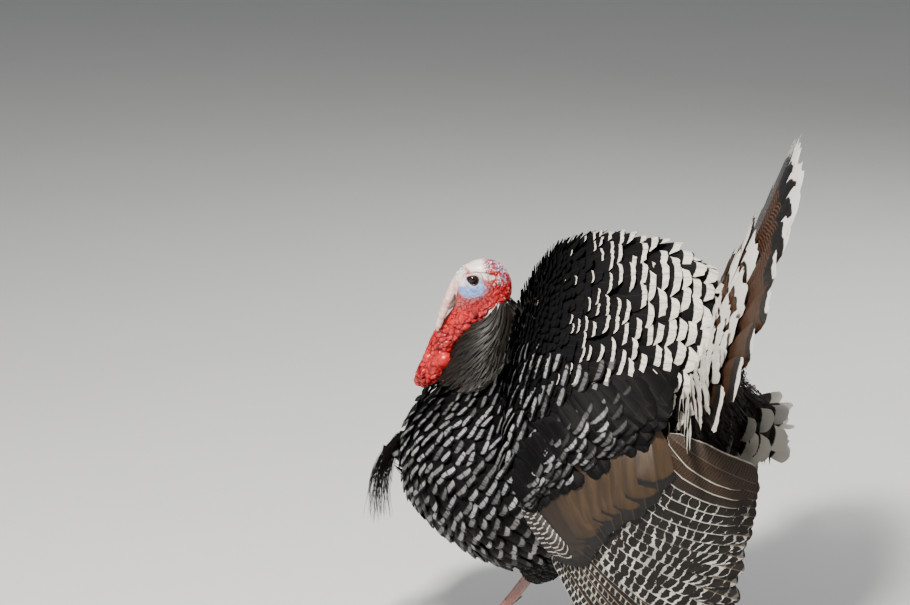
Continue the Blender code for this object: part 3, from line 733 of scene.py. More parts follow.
def growing_rows(first, last, gap):
    """Radii from first to last whose spacing follows gap."""
    radii = [first]
    while radii[-1] < last:
        radii.append(radii[-1] + gap(radii[-1]))
    return radii


# ---- Finishes ------------------------------------------------------------------------------------
BLACK = (0.0032, 0.0028, 0.0031)
QUILL_BLACK = (0.0070, 0.0052, 0.0045)
# Colours of the painted glint: a pale highlight painted on glossy black feathers
GLINT_COLOURS = ((0.60, 0.60, 0.63), (0.26, 0.235, 0.22))
IVORY = (0.84, 0.79, 0.69)
CHESTNUT = (0.19, 0.075, 0.03)


class Signal:
    """A node's output that adds, subtracts and multiplies as a number does, each time through a Math node."""

    def __init__(self, made, socket):
        self.made = made
        self.socket = socket

    def __add__(self, other):
        return self.made.math("ADD", self, other)

    def __sub__(self, other):
        return self.made.math("SUBTRACT", self, other)

    def __rsub__(self, other):
        return self.made.math("SUBTRACT", other, self)

    def __mul__(self, other):
        return self.made.math("MULTIPLY", self, other)

    def __pow__(self, other):
        return self.made.math("POWER", self, other)

    def __abs__(self):
        return self.made.math("ABSOLUTE", self)


class Finish:
    """A Principled material in the making: each method adds a node and returns its output as a signal."""

    def __init__(self, name, roughness, **settings):
        self.material = bpy.data.materials.new(name)
        self.material.use_nodes = True
        self.tree = self.material.node_tree
        self.shader = self.tree.nodes["Principled BSDF"]
        self.shader.inputs["Roughness"].default_value = roughness
        for key, value in settings.items():
            self.shader.inputs[key.replace("_", " ")].default_value = value

    def node(self, kind, inputs=(), out=0, **fields):
        """A shader node of a kind, with its inputs and fields set."""
        made = self.tree.nodes.new("ShaderNode" + kind)
        for key, value in fields.items():
            setattr(made, key, value)
        for slot, value in dict(inputs).items():
            self.put(made.inputs[slot], value)
        return Signal(self, made.outputs[out])

    def put(self, socket, value):
        """Links a signal to the socket, or sets the socket's own value."""
        if isinstance(value, Signal):
            self.tree.links.new(value.socket, socket)
        elif isinstance(value, tuple) and len(value) == 3 and socket.type == "RGBA":
            socket.default_value = (*value, 1.0)
        else:
            socket.default_value = value

    def math(self, operation, a, b=0.0):
        return self.node("Math", {0: a, 1: b}, operation=operation)

    def sine(self, turns):
        """The sine of a number of whole turns."""
        return self.math("SINE", turns * (2 * math.pi))

    def mark(self, name):
        """A value that the mesh's points hold."""
        return self.node("Attribute", out=2, attribute_name=name)

    def vane_map(self):
        """A vane's own map: u from edge to edge and v from quill to tip."""
        parts = self.node("SeparateXYZ", {0: self.node("UVMap", uv_map="vane")}).socket.node
        return Signal(self, parts.outputs[0]), Signal(self, parts.outputs[1])

    def place(self):
        """The place in the object's own coordinates."""
        return self.node("TexCoord", out=3)

    def noise(self, where, scale, detail=2.0, rough=0.5):
        inputs = {"Vector": where, "Scale": scale, "Detail": detail, "Roughness": rough}
        return self.node("TexNoise", inputs)

    def vector(self, x=0.0, y=0.0, z=0.0):
        return self.node("CombineXYZ", {0: x, 1: y, 2: z})

    def step(self, value, low, high, start=0.0, end=1.0):
        """Smooth rise from start to end as value goes from low to high."""
        inputs = {"Value": value, 1: low, 2: high, 3: start, 4: end}
        return self.node("MapRange", inputs, interpolation_type="SMOOTHSTEP")

    def window(self, value, low, high, soft):
        """1 between low and high and 0 outside, with soft edges."""
        rise = self.step(value, low - soft, low + soft)
        return rise * self.step(value, high - soft, high + soft, 1.0, 0.0)

    def mix(self, share, a, b):
        """A colour from a to b as share goes from 0 to 1."""
        return self.node("Mix", {0: share, 6: a, 7: b}, out=2, data_type="RGBA")

    def roughness(self, value):
        self.put(self.shader.inputs["Roughness"], value)

    def done(self, colour, height=None, strength=0.4, distance=0.0006):
        """Takes the colour and, where a height is given, the bump, and gives the material."""
        self.put(self.shader.inputs["Base Color"], colour)
        if height is not None:
            inputs = {"Strength": strength, "Distance": distance, "Height": height}
            self.put(self.shader.inputs["Normal"], self.node("Bump", inputs))
        return self.material

    def done_with_barbs(self, colour, fine, depth, height, strength=0.4, distance=0.0006):
        """Paints shade into the gaps between barbs, as dark as depth says, and then is done."""
        gaps = self.step(fine, -1.0, 1.0, 0.0, depth)
        return self.done(self.mix(gaps, colour, (0.0, 0.0, 0.0)), height, strength, distance)


def shade(colour, share):
    """A colour made darker or lighter by a share."""
    return tuple(share * c for c in colour)


def barbs(made, u, v, number):
    """Place out from the shaft, and fine barbs slanting to the edge: a sine of place along less place out."""
    out = abs(u - 0.5)
    return out, made.sine(v * number - out * (number * 0.30))


def body_feather_finish(name, ground, roughness, metallic):
    """Dark feather with a painted glint strip before a velvet-black tip band, and an ivory tip where it is
    pale.

    The mark glint says how strong the painted glint strip is, band how far from the tip it ends and pale how
    far the ivory tip reaches, both in metres.
    """
    made = Finish(name, roughness, Metallic=metallic, Specular_IOR_Level=0.11)
    u, v = made.vane_map()
    out, fine = barbs(made, u, v, 60)
    tone, band, pale = made.mark("tone"), made.mark("band"), made.mark("pale")
    grain = made.noise(made.place(), 260.0, 3.0)
    tip_gap = made.mark("from_tip") + (grain - 0.5) * 0.0022 - (out * 2.0) ** 3.0 * 0.0009
    streak = made.noise(made.vector(u * 7.0, v * 2.2, tone * 40.0), 1.0, 2.0)
    # Painted glint: a pale strip before the black tip band stands in for the highlight on the glossy vane
    strip = made.window(tip_gap, band * 0.30 + tone * 0.0012, band, 0.0012)
    strip = strip * made.step(out, 0.48, 0.34) * made.step(streak, 0.28, 0.58, 0.10, 1.0)
    strip = strip * made.mark("glint") * made.step(tone, 0.0, 0.7, 0.30, 1.0)
    base = made.mix(tone * 0.6, ground, shade(ground, 2.0))
    base = made.mix(strip, base, made.mix(made.step(streak, 0.4, 0.7), *GLINT_COLOURS))
    tipped = made.step(pale, 0.0003, 0.001)
    seam = made.window(tip_gap, pale, pale, 0.0008)
    base = made.mix(seam * tipped, base, CHESTNUT)
    tip = made.step(tip_gap, pale - 0.0007, pale + 0.0007, 1.0, 0.0) * tipped
    base = made.mix(tip, base, made.mix(made.step(streak, 0.35, 0.7), IVORY, shade(IVORY, 0.66)))
    base = made.mix(made.step(out, 0.010, 0.022, 0.45, 0.0), base, (0.02, 0.016, 0.014))
    made.roughness(made.step(strip + tip, 0.0, 1.0, roughness + 0.25, roughness))
    return made.done_with_barbs(base, fine, 0.30, fine * 0.5 + grain * 0.8, 0.35)


def banded_feather_finish(name, ground, bar, pitch, bar_share, slant, bands, shaft, roughness):
    """Long feather with cross bars over a mottled ground, and bands of colour near its tip.

    Bars are a sine of the distance from the tip over the pitch, bent by the place out from the shaft and by
    noise, and cut at bar_share. A band is (near, far, colour), in metres from the tip. The mark fringe
    stretches the bands and draws them up the feather's edges.
    """
    made = Finish(name, roughness, Specular_IOR_Level=0.3)
    u, v = made.vane_map()
    out, fine = barbs(made, u, v, 110)
    tone, from_tip, fringe = made.mark("tone"), made.mark("from_tip"), made.mark("fringe")
    blot = made.noise(made.vector(u * 5.0, from_tip * 90.0, tone * 50.0), 1.0, 3.0, 0.6)
    grain = made.noise(made.place(), 420.0, 2.0)
    phase = from_tip * (1 / pitch) - out * slant + (blot - 0.5) * 0.6 + tone
    cut = math.cos(math.pi * bar_share)
    barred = made.step(made.sine(phase) + (grain - 0.5) * 0.7, cut - 0.22, cut + 0.22)
    base = made.mix(made.step(blot, 0.3, 0.75), ground, shade(ground, 1.7))
    base = made.mix(barred, base, bar)
    base = made.mix(made.step(out, 0.010, 0.026, 0.9, 0.0), base, shaft)
    edge = from_tip + (grain - 0.5) * 0.0045
    edge = edge - edge * (fringe * 0.45) - (out * 2.0) ** 3.0 * (fringe * 0.060 + 0.004)
    for near, far, tint in bands:
        base = made.mix(made.window(edge, near, far, 0.0012), base, tint)
    return made.done_with_barbs(base, fine, 0.22, fine * 0.6 + grain * 0.5)


def ladder_feather_finish(name, light, pitch, cell, shaft_at, inner_share, shaft):
    """Flight feather whose outer web is a ladder of rounded dark cells in a light net.

    A cell is round in two parameters: the fraction of the distance from the tip over the pitch, and the place
    out from the shaft, each over its half size and cubed; their sum is 1 at the cell's rim. The shaft stands
    at the share shaft_at of the width, and the inner web keeps inner_share of the light. The mark
    wear_and_shade grows the cells and turns the feather a plain, finely marbled brown: on the inner
    secondaries this is brown from real wear, on the primaries the grown dark cells are painted shade.
    """
    made = Finish(name, 0.45, Specular_IOR_Level=0.3)
    u, v = made.vane_map()
    fine = barbs(made, u, v, 130)[1]
    out = made.math("MAXIMUM", (shaft_at - u) * (1 / shaft_at), (u - shaft_at) * (1 / (1 - shaft_at)))
    tone, from_tip, wear_and_shade = made.mark("tone"), made.mark("from_tip"), made.mark("wear_and_shade")
    blot = made.noise(made.vector(u * 4.0, from_tip * 80.0, tone * 50.0), 1.0, 3.0, 0.6)
    grain = made.noise(made.place(), 300.0, 2.0)
    phase = from_tip * (1 / pitch) + out * 0.35 + (blot - 0.5) * 1.1 + tone
    along = abs(made.math("FRACT", phase) - 0.5) * (1 / cell[0])
    sideways = abs(out - 0.52 + (grain - 0.5) * 0.16) * (1 / cell[1])
    merge = made.step(made.noise(made.place(), 38.0, 2.0), 0.40, 0.68, -0.25, 1.1)
    ring = along**3.0 + sideways**3.0 + (grain - 0.5) * 0.7 - wear_and_shade * 2.2 - merge
    net = made.step(ring, 0.85, 1.15) * made.step(u, shaft_at - 0.01, shaft_at + 0.02, 1.0, inner_share)
    net = net * made.step(wear_and_shade, 0.75, 1.0, 1.0, 0.0)
    ground = made.mix(made.step(blot, 0.35, 0.7), QUILL_BLACK, shade(QUILL_BLACK, 2.2))
    marbling = made.math("SINE", from_tip * (2 * math.pi / 0.0042) + blot * 14.0)
    brown = made.mix(made.step(marbling, -0.2, 0.6), (0.052, 0.029, 0.015), (0.020, 0.012, 0.008))
    brown = made.mix(made.step(out, 0.86, 0.97), brown, (0.16, 0.11, 0.07))
    ground = made.mix(made.step(wear_and_shade, 0.6, 0.95), ground, brown)
    rim = made.step(out, 0.90, 0.96) * made.step(wear_and_shade, 0.10, 0.35, 0.0, 0.8)
    dull = made.step(made.noise(made.place(), 45.0, 2.0), 0.35, 0.65, 0.55, 1.0)
    net = made.math("MAXIMUM", net, rim) * dull
    base = made.mix(net, ground, made.mix(grain, light, shade(light, 0.70)))
    base = made.mix(made.step(out, 0.015, 0.045, 0.9, 0.0), base, shaft)
    return made.done_with_barbs(base, fine, 0.25, fine * 0.6 + grain * 0.4)


def covert_finish():
    """Bronze-brown satin covert with a broad black tip; marks turn one dusky, or dusky with pale bars."""
    made = Finish("bronze_covert", 0.36, Metallic=0.15, Specular_IOR_Level=0.35)
    u, v = made.vane_map()
    out, fine = barbs(made, u, v, 120)
    tone, from_tip, barred = made.mark("tone"), made.mark("from_tip"), made.mark("barred")
    sheen = made.noise(made.vector(u * 7.0, v * 3.0, tone * 40.0), 1.0, 3.0)
    base = made.mix(made.step(sheen, 0.3, 0.7), (0.042, 0.0235, 0.0112), (0.062, 0.036, 0.0170))
    side = made.step(u + (sheen - 0.5) * 0.3, 0.22, 0.02, 0.0, 0.40)
    base = made.mix(side, base, (0.018, 0.011, 0.007))
    base = made.mix(made.mark("dusky"), base, made.mix(sheen, (0.012, 0.009, 0.008), (0.032, 0.023, 0.018)))
    wave = made.math("SINE", (from_tip - out * 0.004) * (2 * math.pi / 0.0085))
    bars = made.step(wave + (sheen - 0.5), 0.60, 0.90) * barred
    base = made.mix(bars, base, (0.46, 0.43, 0.40))
    edge = from_tip + (sheen - 0.5) * 0.006 - (out * 2.0) ** 3.0 * 0.006
    tip = made.step(edge, 0.016, 0.020, 1.0, 0.0) * (1.0 - barred)
    base = made.mix(tip, base, (0.008, 0.007, 0.007))
    base = made.mix(made.step(out, 0.010, 0.024, 0.7, 0.0), base, (0.05, 0.032, 0.02))
    return made.done_with_barbs(base, fine, 0.2, fine + sheen, 0.3, 0.0005)


def strand_finish(name, dark, light, roughness):
    """Hair-like strand, darker at its root, with tone from strand to strand."""
    made = Finish(name, roughness, Specular_IOR_Level=0.3)
    u, v = made.vane_map()
    tone = made.mark("tone")
    base = made.mix(tone * tone, dark, light)
    base = made.mix(made.step(v, 0.0, 0.5, 0.6, 0.0), base, shade(dark, 0.4))
    line = made.noise(made.vector(u * 6.0, v * 3.0, tone * 30.0), 2.0)
    base = made.mix(made.step(line, 0.4, 0.7, 0.0, 0.4), base, shade(light, 1.6))
    return made.done(base, line, 0.3, 0.0004)


def bare_skin_finish():
    """Bare skin: red, powder blue, white and pink by marks, painted shade in creases and under plumage, dark
    lid lines.
    """
    made = Finish("bare_skin", 0.40, Subsurface_Weight=0.06, Subsurface_Scale=0.002, Specular_IOR_Level=0.40)
    blot = made.noise(made.place(), 130.0, 3.0, 0.6)
    fine = made.noise(made.place(), 900.0, 2.0)
    base = made.mix(made.step(blot, 0.35, 0.65), (0.56, 0.20, 0.19), (0.36, 0.07, 0.07))
    for mark, low, first, second in (
        ("red", 0.30, (0.40, 0.008, 0.011), (0.60, 0.030, 0.030)),
        ("blue", 0.30, (0.12, 0.22, 0.52), (0.36, 0.48, 0.76)),
        ("white", 0.35, (0.86, 0.79, 0.73), (0.76, 0.62, 0.56)),
        ("snood", 0.30, (0.80, 0.60, 0.55), (0.62, 0.32, 0.29)),
    ):
        base = made.mix(made.mark(mark), base, made.mix(made.step(blot, low, 0.7), first, second))
    # Painted shade: the creases, pits and folds darkened
    deep = made.mix(made.mark("red"), (0.06, 0.020, 0.026), (0.070, 0.002, 0.004))
    deep = made.mix(made.mark("blue"), deep, (0.040, 0.055, 0.140))
    base = made.mix(made.mark("crease") * 0.95, base, deep)
    base = made.mix(made.mark("lid"), base, (0.010, 0.008, 0.010))
    # Painted shade: skin under the plumage near black, as the shade between the feathers
    base = made.mix(made.mark("under"), base, (0.010, 0.008, 0.007))
    made.roughness(made.step(made.mark("under"), 0.0, 1.0, 0.25, 0.9))
    return made.done(base, fine * 0.5 + blot, 0.35, 0.0010)


def horn_finish(name, dark, light, stretch):
    """Horn with faint growth streaks along it and a darker root."""
    made = Finish(name, 0.32, Coat_Weight=0.25, Coat_Roughness=0.2)
    u, v = made.vane_map()
    streak = made.noise(made.vector(u * stretch, v * 2.0), 2.0, 3.0)
    base = made.mix(made.step(streak, 0.3, 0.7), dark, light)
    base = made.mix(made.step(v, 0.0, 0.35, 0.6, 0.0), base, shade(dark, 0.5))
    return made.done(base, streak, 0.2, 0.0005)


def leg_finish():
    """Scaled leg: broad plates with pale lower edges down the front, and small scales elsewhere."""
    made = Finish("leg_scales", 0.42)
    where, front = made.place(), made.mark("front")
    within = made.math("FRACT", made.mark("phase") + (made.noise(where, 150.0) - 0.5) * 0.5)
    seam = made.step(abs(within - 0.5), 0.41, 0.48)
    scale_edge = made.node("TexVoronoi", {"Vector": where, "Scale": 300.0}, feature="DISTANCE_TO_EDGE")
    lines = front * seam + (1.0 - front) * made.step(scale_edge, 0.02, 0.10, 1.0, 0.0)
    blot = made.step(made.noise(where, 60.0, 3.0), 0.35, 0.65)
    base = made.mix(blot, (0.40, 0.17, 0.14), (0.31, 0.19, 0.17))
    base = made.mix(within * front * 0.5, base, (0.52, 0.34, 0.29))
    base = made.mix(lines * 0.62, base, (0.11, 0.050, 0.045))
    fine = made.noise(where, 700.0, 2.0)
    return made.done(base, fine * 0.2 + within * front - lines, 0.55, 0.0006)


def eye_finish():
    """Wet eye: black pupil, dark brown iris with fine rays, near-black rim, by the angle from its middle."""
    made = Finish("eye", 0.06, Coat_Weight=0.4, Coat_Roughness=0.02, Specular_IOR_Level=0.3)
    u, v = made.vane_map()
    rays = made.noise(made.vector(u * 60.0, v * 3.0), 1.0, 2.0)
    iris = made.mix(made.step(rays, 0.3, 0.7), (0.045, 0.017, 0.008), (0.018, 0.008, 0.004))
    base = made.mix(made.step(v, 0.155, 0.175), (0.002, 0.002, 0.002), iris)
    return made.done(made.mix(made.step(v, 0.30, 0.36), base, (0.012, 0.008, 0.007)))


# ---- Trunk, neck and thigh feathers --------------------------------------------------------------
def make_breast(finish):
    """Broad square-tipped feathers of breast and belly, in rows that curve round a pole before the neck."""
    rng = np.random.default_rng(11)
    pole = np.array((0.0, -0.40, 0.60))
    neck_foot = (0.0, -0.205, 0.445)

    def large(radius):
        return smoothstep(0.22, 0.34, radius)

    radii = growing_rows(0.205, 0.60, lambda radius: 0.0120 + 0.004 * float(large(radius)))
    found = shell_rows(pole, 0.775, radii, lambda radius: 0.0155 + 0.008 * float(large(radius)), rng, 0.0045)
    x, y, z = found[0].T
    keep = (z < 0.462) & (y < 0.19) & ~((z > 0.425) & (y > -0.10))
    keep &= ~((np.abs(x) > 0.10) & (y > 0.05) & (z > 0.26))
    roots, lie, across, radius = (values[keep] for values in found)
    y, z = roots.T[1:]
    lie, across = turned(lie, across, rng, 0.24)
    near_neck = 1 - smoothstep(0.0, 0.10, np.linalg.norm(roots - neck_foot, axis=-1) - 0.02)
    size = 1 - 0.45 * near_neck
    # Strength of the painted glint: little near the neck, towards the back and low on the belly
    glint = (1 - 0.8 * near_neck) * (1 - 0.8 * smoothstep(-0.02, 0.06, y))
    glint = glint * (1 - 0.75 * smoothstep(0.215, 0.150, z))
    glint = glint * rng.uniform(0.25, 1.0, len(roots)) ** 0.6
    length = 0.054 * size * rng.uniform(0.92, 1.10, len(roots))
    half = (0.0105 + 0.0045 * large(radius)) * size * rng.uniform(0.85, 1.12, len(roots))
    roots = roots - lie * (length * 0.75)[:, None]
    piece = feathers(
        "breast_feathers", finish, on_trunk, roots, lie, across, length, half,
        lift=(-0.012, rng.uniform(0.0005, 0.0040, len(roots))), rise=1.3, camber=0.28, curl=0.035,
        tip_round=0.04, fray=0.05, seed=12, tilt=rng.uniform(-0.22, 0.22, len(roots)),
        marks={"glint": glint, "pale": 0.0, "band": 0.0110 * size},
    )
    return dress(piece, "breast_feather")


def make_mantle(finish):
    """Raised feathers of the back: narrow and velvet black in front, broad with ivory tips further back."""
    rng = np.random.default_rng(21)
    pole = np.array((0.0, -0.29, 0.50))

    def large(radius):
        return smoothstep(0.26, 0.37, radius)

    radii = growing_rows(0.160, 0.500, lambda radius: 0.0070 + 0.0080 * float(large(radius)))
    fine = shell_rows(pole, 0.80, radii, lambda radius: 0.0105 + 0.0290 * float(large(radius)), rng, 0.0022)
    y, z = fine[0].T[1:]
    keep = (z > 0.415 - 0.25 * np.clip(y, -0.12, 0.0)) & (behind_fan(fine[0]) < -0.016) & (y > -0.135)
    fine = [values[keep] for values in fine]
    radii = growing_rows(0.180, 0.420, lambda radius: 0.0125)
    broad = shell_rows(pole, 0.80, radii, lambda radius: 0.036, rng, 0.0030)
    y, z = broad[0].T[1:]
    keep = (z > 0.365) & (z < 0.520) & (y > -0.118) & (y < 0.045)
    broad = [values[keep] for values in broad]
    roots, lie, across, radius = (np.concatenate(pair) for pair in zip(fine, broad))
    low = np.repeat((0.0, 1.0), (len(fine[0]), len(broad[0])))
    lie, across = turned(lie, across, rng, 0.10)
    y, z = roots.T[1:]
    count = len(roots)
    under = smoothstep(0.500, 0.470, z) * smoothstep(0.16, 0.10, y)
    grown = radius + 0.022 * soft_noise(roots, 0.05, 5)
    chosen = rng.uniform(0, 1, count) < smoothstep(0.275, 0.35, grown) * 0.95 + 0.05
    pale = np.interp(grown, (0.27, 0.32, 0.37, 0.42, 0.47), (0.0012, 0.0024, 0.0058, 0.0092, 0.0140))
    pale = pale * chosen * (1 - low) * (1 - under)
    size = large(radius)
    length = (0.038 + 0.034 * size) * rng.uniform(0.94, 1.06, count)
    half = np.where(low > 0, 0.0215, 0.0062 + 0.0185 * size) * rng.uniform(0.80, 1.15, count)
    stand = 0.0015 + 0.0045 * smoothstep(0.56, 0.64, z) + 0.004 * size
    stand = stand * rng.uniform(0.4, 1.4, count) + 0.003 * low
    roots = roots - lie * (length * 0.72)[:, None]
    # The broad lower feathers carry a painted glint
    piece = feathers(
        "mantle_feathers", finish, on_trunk, roots, lie, across, length, half,
        lift=(-0.016, stand), rise=1.5, camber=0.20, curl=0.02, tip_round=0.02, fray=0.022, columns=7,
        seed=22, tilt=rng.uniform(-0.20, 0.20, count),
        marks={"glint": low * rng.uniform(0.45, 1.0, count), "pale": pale, "band": 0.0098},
    )
    return dress(piece, "velvet_feather")


def make_rump(finish):
    """Soft dark down over the whole rear: round the tail's root, over the feathers under it, down the vent.

    Roots come from a golden-angle lattice of directions from a place inside, each carried to the surface.
    """
    rng = np.random.default_rng(31)
    centre = np.array((0.0, 0.105, 0.37))
    directions = 9000
    step = np.arange(directions) + 0.5
    upward = 1 - 2 * step / directions
    turn = step * math.pi * (3 - math.sqrt(5))
    level = np.sqrt(1 - upward**2)
    heading = np.stack((level * np.cos(turn), level * np.sin(turn), upward), -1)
    heading = heading[heading[:, 1] > -0.30]

    def along_heading(reach):
        return centre + heading * reach[:, None]

    start = np.zeros(len(heading))
    roots = along_heading(crossing(along_heading, start, start + 0.5, trunk_level))
    keep = (behind_fan(roots) > 0.004) & (roots[:, 1] > 0.10) & (roots[:, 2] > 0.12)
    roots, normal = on_trunk(roots[keep])
    count = len(roots)
    aside, z = np.abs(roots[:, 0]), roots[:, 2]
    lie = in_surface(np.array((0.0, 0.35, -1.0)) + rng.uniform(-0.35, 0.35, (count, 3)), normal)
    low = smoothstep(0.33, 0.27, z)
    long = smoothstep(0.390, 0.405, z) * smoothstep(0.465, 0.440, z) * smoothstep(0.10, 0.05, aside)
    length = (0.017 + 0.050 * long + 0.010 * low) * rng.uniform(0.7, 1.25, count)
    piece = feathers(
        "rump_down", finish, on_trunk, roots, lie, np.cross(lie, normal), length, 0.0019 + 0.0025 * low,
        shape="down", lift=(-0.006, rng.uniform(0.001, 0.008, count) * (1 + 3 * long)), rise=0.8, camber=0.1,
        fray=0.35, rows=6, columns=3, seed=32,
    )
    return dress(piece, "down")


def tube_roots(length, radius_at, spacing, rows, rng):
    """Roots staggered in rows along a tube: distance along it, turn round it, and no stand."""
    found = []
    for k, where in enumerate(np.arange(0, length, rows)):
        number = max(int(2 * math.pi * radius_at(where) / spacing), 3)
        turn = (np.arange(number) + 0.5 * (k % 2) + rng.uniform(-0.3, 0.3, number)) / number
        turn = (2 * turn - 1) * math.pi
        found.append(np.stack((where + rng.uniform(-0.4, 0.4, number) * rows, turn, np.zeros(number)), -1))
    return np.concatenate(found)


def tube_tract(
    name, finish, path, radii, spacing, row_gap, length, half, seed, keep=None, lean=None, hold=None, **more
):
    """Feathers on a tube: their two parameters are distance along it and turn round it.

    Lean turns each feather's lie in the surface, from its root. Hold takes its points on to another surface.
    """
    rng = np.random.default_rng(seed)
    place, reach, radius_at = on_tube(path, radii)
    roots = tube_roots(reach, radius_at, spacing, row_gap, rng)
    if keep is not None:
        roots = roots[keep(place(roots)[0])]
    size = rng.uniform(0.75, 1.25, len(roots))
    fits = (roots[:, 0] + 0.9 * length * size < reach) | (keep is None)
    roots, size = roots[fits], size[fits]
    count = len(roots)
    girth = radius_at(roots[:, 0])[:, None]
    turn = rng.uniform(-0.20, 0.20, (count, 1)) + (0.0 if lean is None else lean(roots)[:, None])
    along = np.concatenate((np.cos(turn), np.sin(turn) / girth, np.zeros((count, 1))), axis=1)
    across = np.concatenate((-np.sin(turn), np.cos(turn) / girth, np.zeros((count, 1))), axis=1)
    round_it = roots[:, 1] / (2 * math.pi) + 0.5
    bake = np.stack((0.03 + 0.94 * round_it, 0.03 + 0.94 * roots[:, 0] / reach), -1)
    settle = (lambda points: hold(*place(points))) if hold else place
    return feathers(
        name, finish, settle, roots, along, across, length * size, half, seed=seed + 1, bake=bake, **more
    )


def make_neck(finish):
    """The cape: hair-like feathers that hang from the nape over the neck's back and sides to the breast."""

    def in_cape(points):
        return (behind_throat(points) > -0.012) & (points[:, 2] < 0.585) & (trunk_level(points) > -0.16)

    def forward(roots):
        return -0.50 * np.sign(roots[:, 1]) * smoothstep(2.9, 1.6, np.abs(roots[:, 1]))

    def over_trunk(points, normal):
        laid, out = on_trunk(points)
        share = smoothstep(0.06, 0.0, trunk_level(points))[..., None]
        laid = laid + out * 0.0035
        return points + (laid - points) * share, unit(normal + (out - normal) * share)

    piece = tube_tract(
        "neck_cape", finish, NECK_PATH, NECK_CAPE, spacing=0.0030, row_gap=0.0045, length=0.052, half=0.0012,
        seed=41, keep=in_cape, lean=forward, hold=over_trunk, shape="hair", lift=(-0.0060, 0.0014), rise=1.2,
        camber=0.2, thickness=0.0005, tip_round=0.0, sweep=0.04, fray=0.10, rows=7, columns=3,
    )
    return dress(piece, "neck_feather")


def thigh_path(side, sign, drop):
    """The thigh's line, from inside the trunk to a little below the hock."""
    hock = np.array(LEGS[side][0])
    top = hock + (sign * 0.012, 0.030, 0.062)
    return top, (top + hock) / 2, hock + (0, 0, -drop)


def make_thighs(finish):
    """Short dark feathers down each thigh to the hock."""
    for side, sign in SIDES:
        # A faint painted glint on the thigh feathers
        piece = tube_tract(
            f"thigh_feathers_{side}", finish, thigh_path(side, sign, 0.012), THIGH_GIRTH, spacing=0.0085,
            row_gap=0.0075, length=0.026, half=0.0062, seed=51 + sign, shape="round", lift=(-0.006, 0.001),
            camber=0.25, fray=0.06, rows=6, columns=3, marks={"glint": 0.15, "pale": 0.0, "band": 0.006},
        )
        dress(piece, "thigh_feather")


# ---- Tail ----------------------------------------------------------------------------------------
def fan_row(count, spread, lengths, power=1.6):
    """Angles of a fan's feathers, and their lengths, longest in the middle."""
    place = (np.arange(count) + 0.5) / count * 2 - 1
    return place * spread, lengths[0] + (lengths[1] - lengths[0]) * np.abs(place) ** power


def fan_feathers(name, finish, angle, length, hub, half, out, seed, **more):
    """Feathers spread as rays in the tail's plane, each one's edge over its neighbour's."""
    count = len(angle)
    along = np.stack((np.sin(angle), np.cos(angle), np.zeros(count)), -1)
    across = np.stack((np.cos(angle), -np.sin(angle), np.zeros(count)), -1)
    roots = along * hub + Z_AXIS * np.broadcast_to(out, (count,))[:, None]
    return feathers(
        name, finish, on_tail, roots, along, across, length - hub, half, strips=True, seed=seed, **more
    )


def make_tail(finish, covert_finish):
    """Long tail feathers, rows of coverts that shorten towards the front, and more coverts beside the fan."""
    rng = np.random.default_rng(61)
    angle, length = fan_row(TAIL_FEATHERS, TAIL_SPREAD * 0.975, TAIL_LENGTHS)
    outer = smoothstep(math.radians(25), math.radians(60), np.abs(angle))
    fringe = -1.5 * outer + 1.7 * smoothstep(math.radians(60), math.radians(76), np.abs(angle))
    length = length * (1 - rng.uniform(0, 0.020 + 0.06 * outer))
    piece = fan_feathers(
        "tail_feathers", finish, angle, length, hub=0.030, half=0.0325, out=-0.0035, seed=62, shape="fan",
        lift=(0.0, rng.uniform(-0.003, 0.003, TAIL_FEATHERS)), camber=0.06,
        tilt=-0.17 * np.clip(angle / 0.25, -1, 1), thickness=0.0010, tip_round=0.045, fray=0.03,
        rows=44, columns=9, marks={"fringe": fringe},
    )
    dress(piece, "rectrix", "tail_fan")
    rows = []
    for k, (share, number, half) in enumerate(COVERT_ROWS):
        lengths = tuple(share * value for value in COVERT_LENGTHS)
        angle, length = fan_row(number, TAIL_SPREAD * 0.97, lengths, 1.4)
        angle = angle + rng.uniform(-0.04, 0.04, number)
        length = length * rng.uniform(0.90, 1.03, number)
        rows.append(np.broadcast_arrays(angle, length, half, 0.0065 + COVERT_DEPTH * 0.24 * k))
    before = sum(len(row[0]) for row in rows)
    for _, sign in SIDES:
        for k, share in enumerate(SIDE_COVERT_ROWS):
            degrees = np.linspace(60.0, 113.0, SIDE_COVERTS) + rng.uniform(-3, 3, SIDE_COVERTS)
            length = share * np.interp(degrees, *SIDE_COVERT_LENGTHS)
            length = length * rng.uniform(0.88, 1.03, SIDE_COVERTS)
            rows.append(np.broadcast_arrays(np.radians(sign * degrees), length, 0.0150, 0.006 + 0.004 * k))
    angle, length, half, out = (np.concatenate(parts) for parts in zip(*rows))
    count = len(angle)
    beside = np.arange(count) >= before
    stand = rng.uniform(0.000, 0.007, count)
    tilt = rng.uniform(-0.12, 0.12, count) - np.where(beside, 0.45, 0.16) * np.clip(angle / 0.5, -1, 1)
    piece = fan_feathers(
        "tail_covert_feathers", covert_finish, angle, length, hub=0.024, half=half, out=out, seed=64,
        shape="fan", lift=(0.0, stand), camber=0.10, tilt=tilt, thickness=0.0009, tip_round=0.04, fray=0.06,
        rows=18, columns=7, marks={"fringe": np.where(beside, 0.6, 0.1)},
    )
    dress(piece, "tail_covert", "tail_coverts")


def on_undertail(points):
    """Places given as turn, reach and stand, set in the fan under the tail, which droops to each side."""
    turn, reach, stand = (points[..., i] for i in range(3))
    side = (np.abs(turn) / UNDERTAIL_SPREAD) ** 1.4
    drop = reach * (math.tan(UNDERTAIL_DIP) + UNDERTAIL_SIDE_DROOP * side)
    x, y = reach * np.sin(turn), UNDERTAIL_CENTRE[1] + reach * np.cos(turn)
    placed = np.stack((x, y, UNDERTAIL_CENTRE[2] - drop + stand), axis=-1)
    return placed, np.broadcast_to(Z_AXIS, placed.shape)


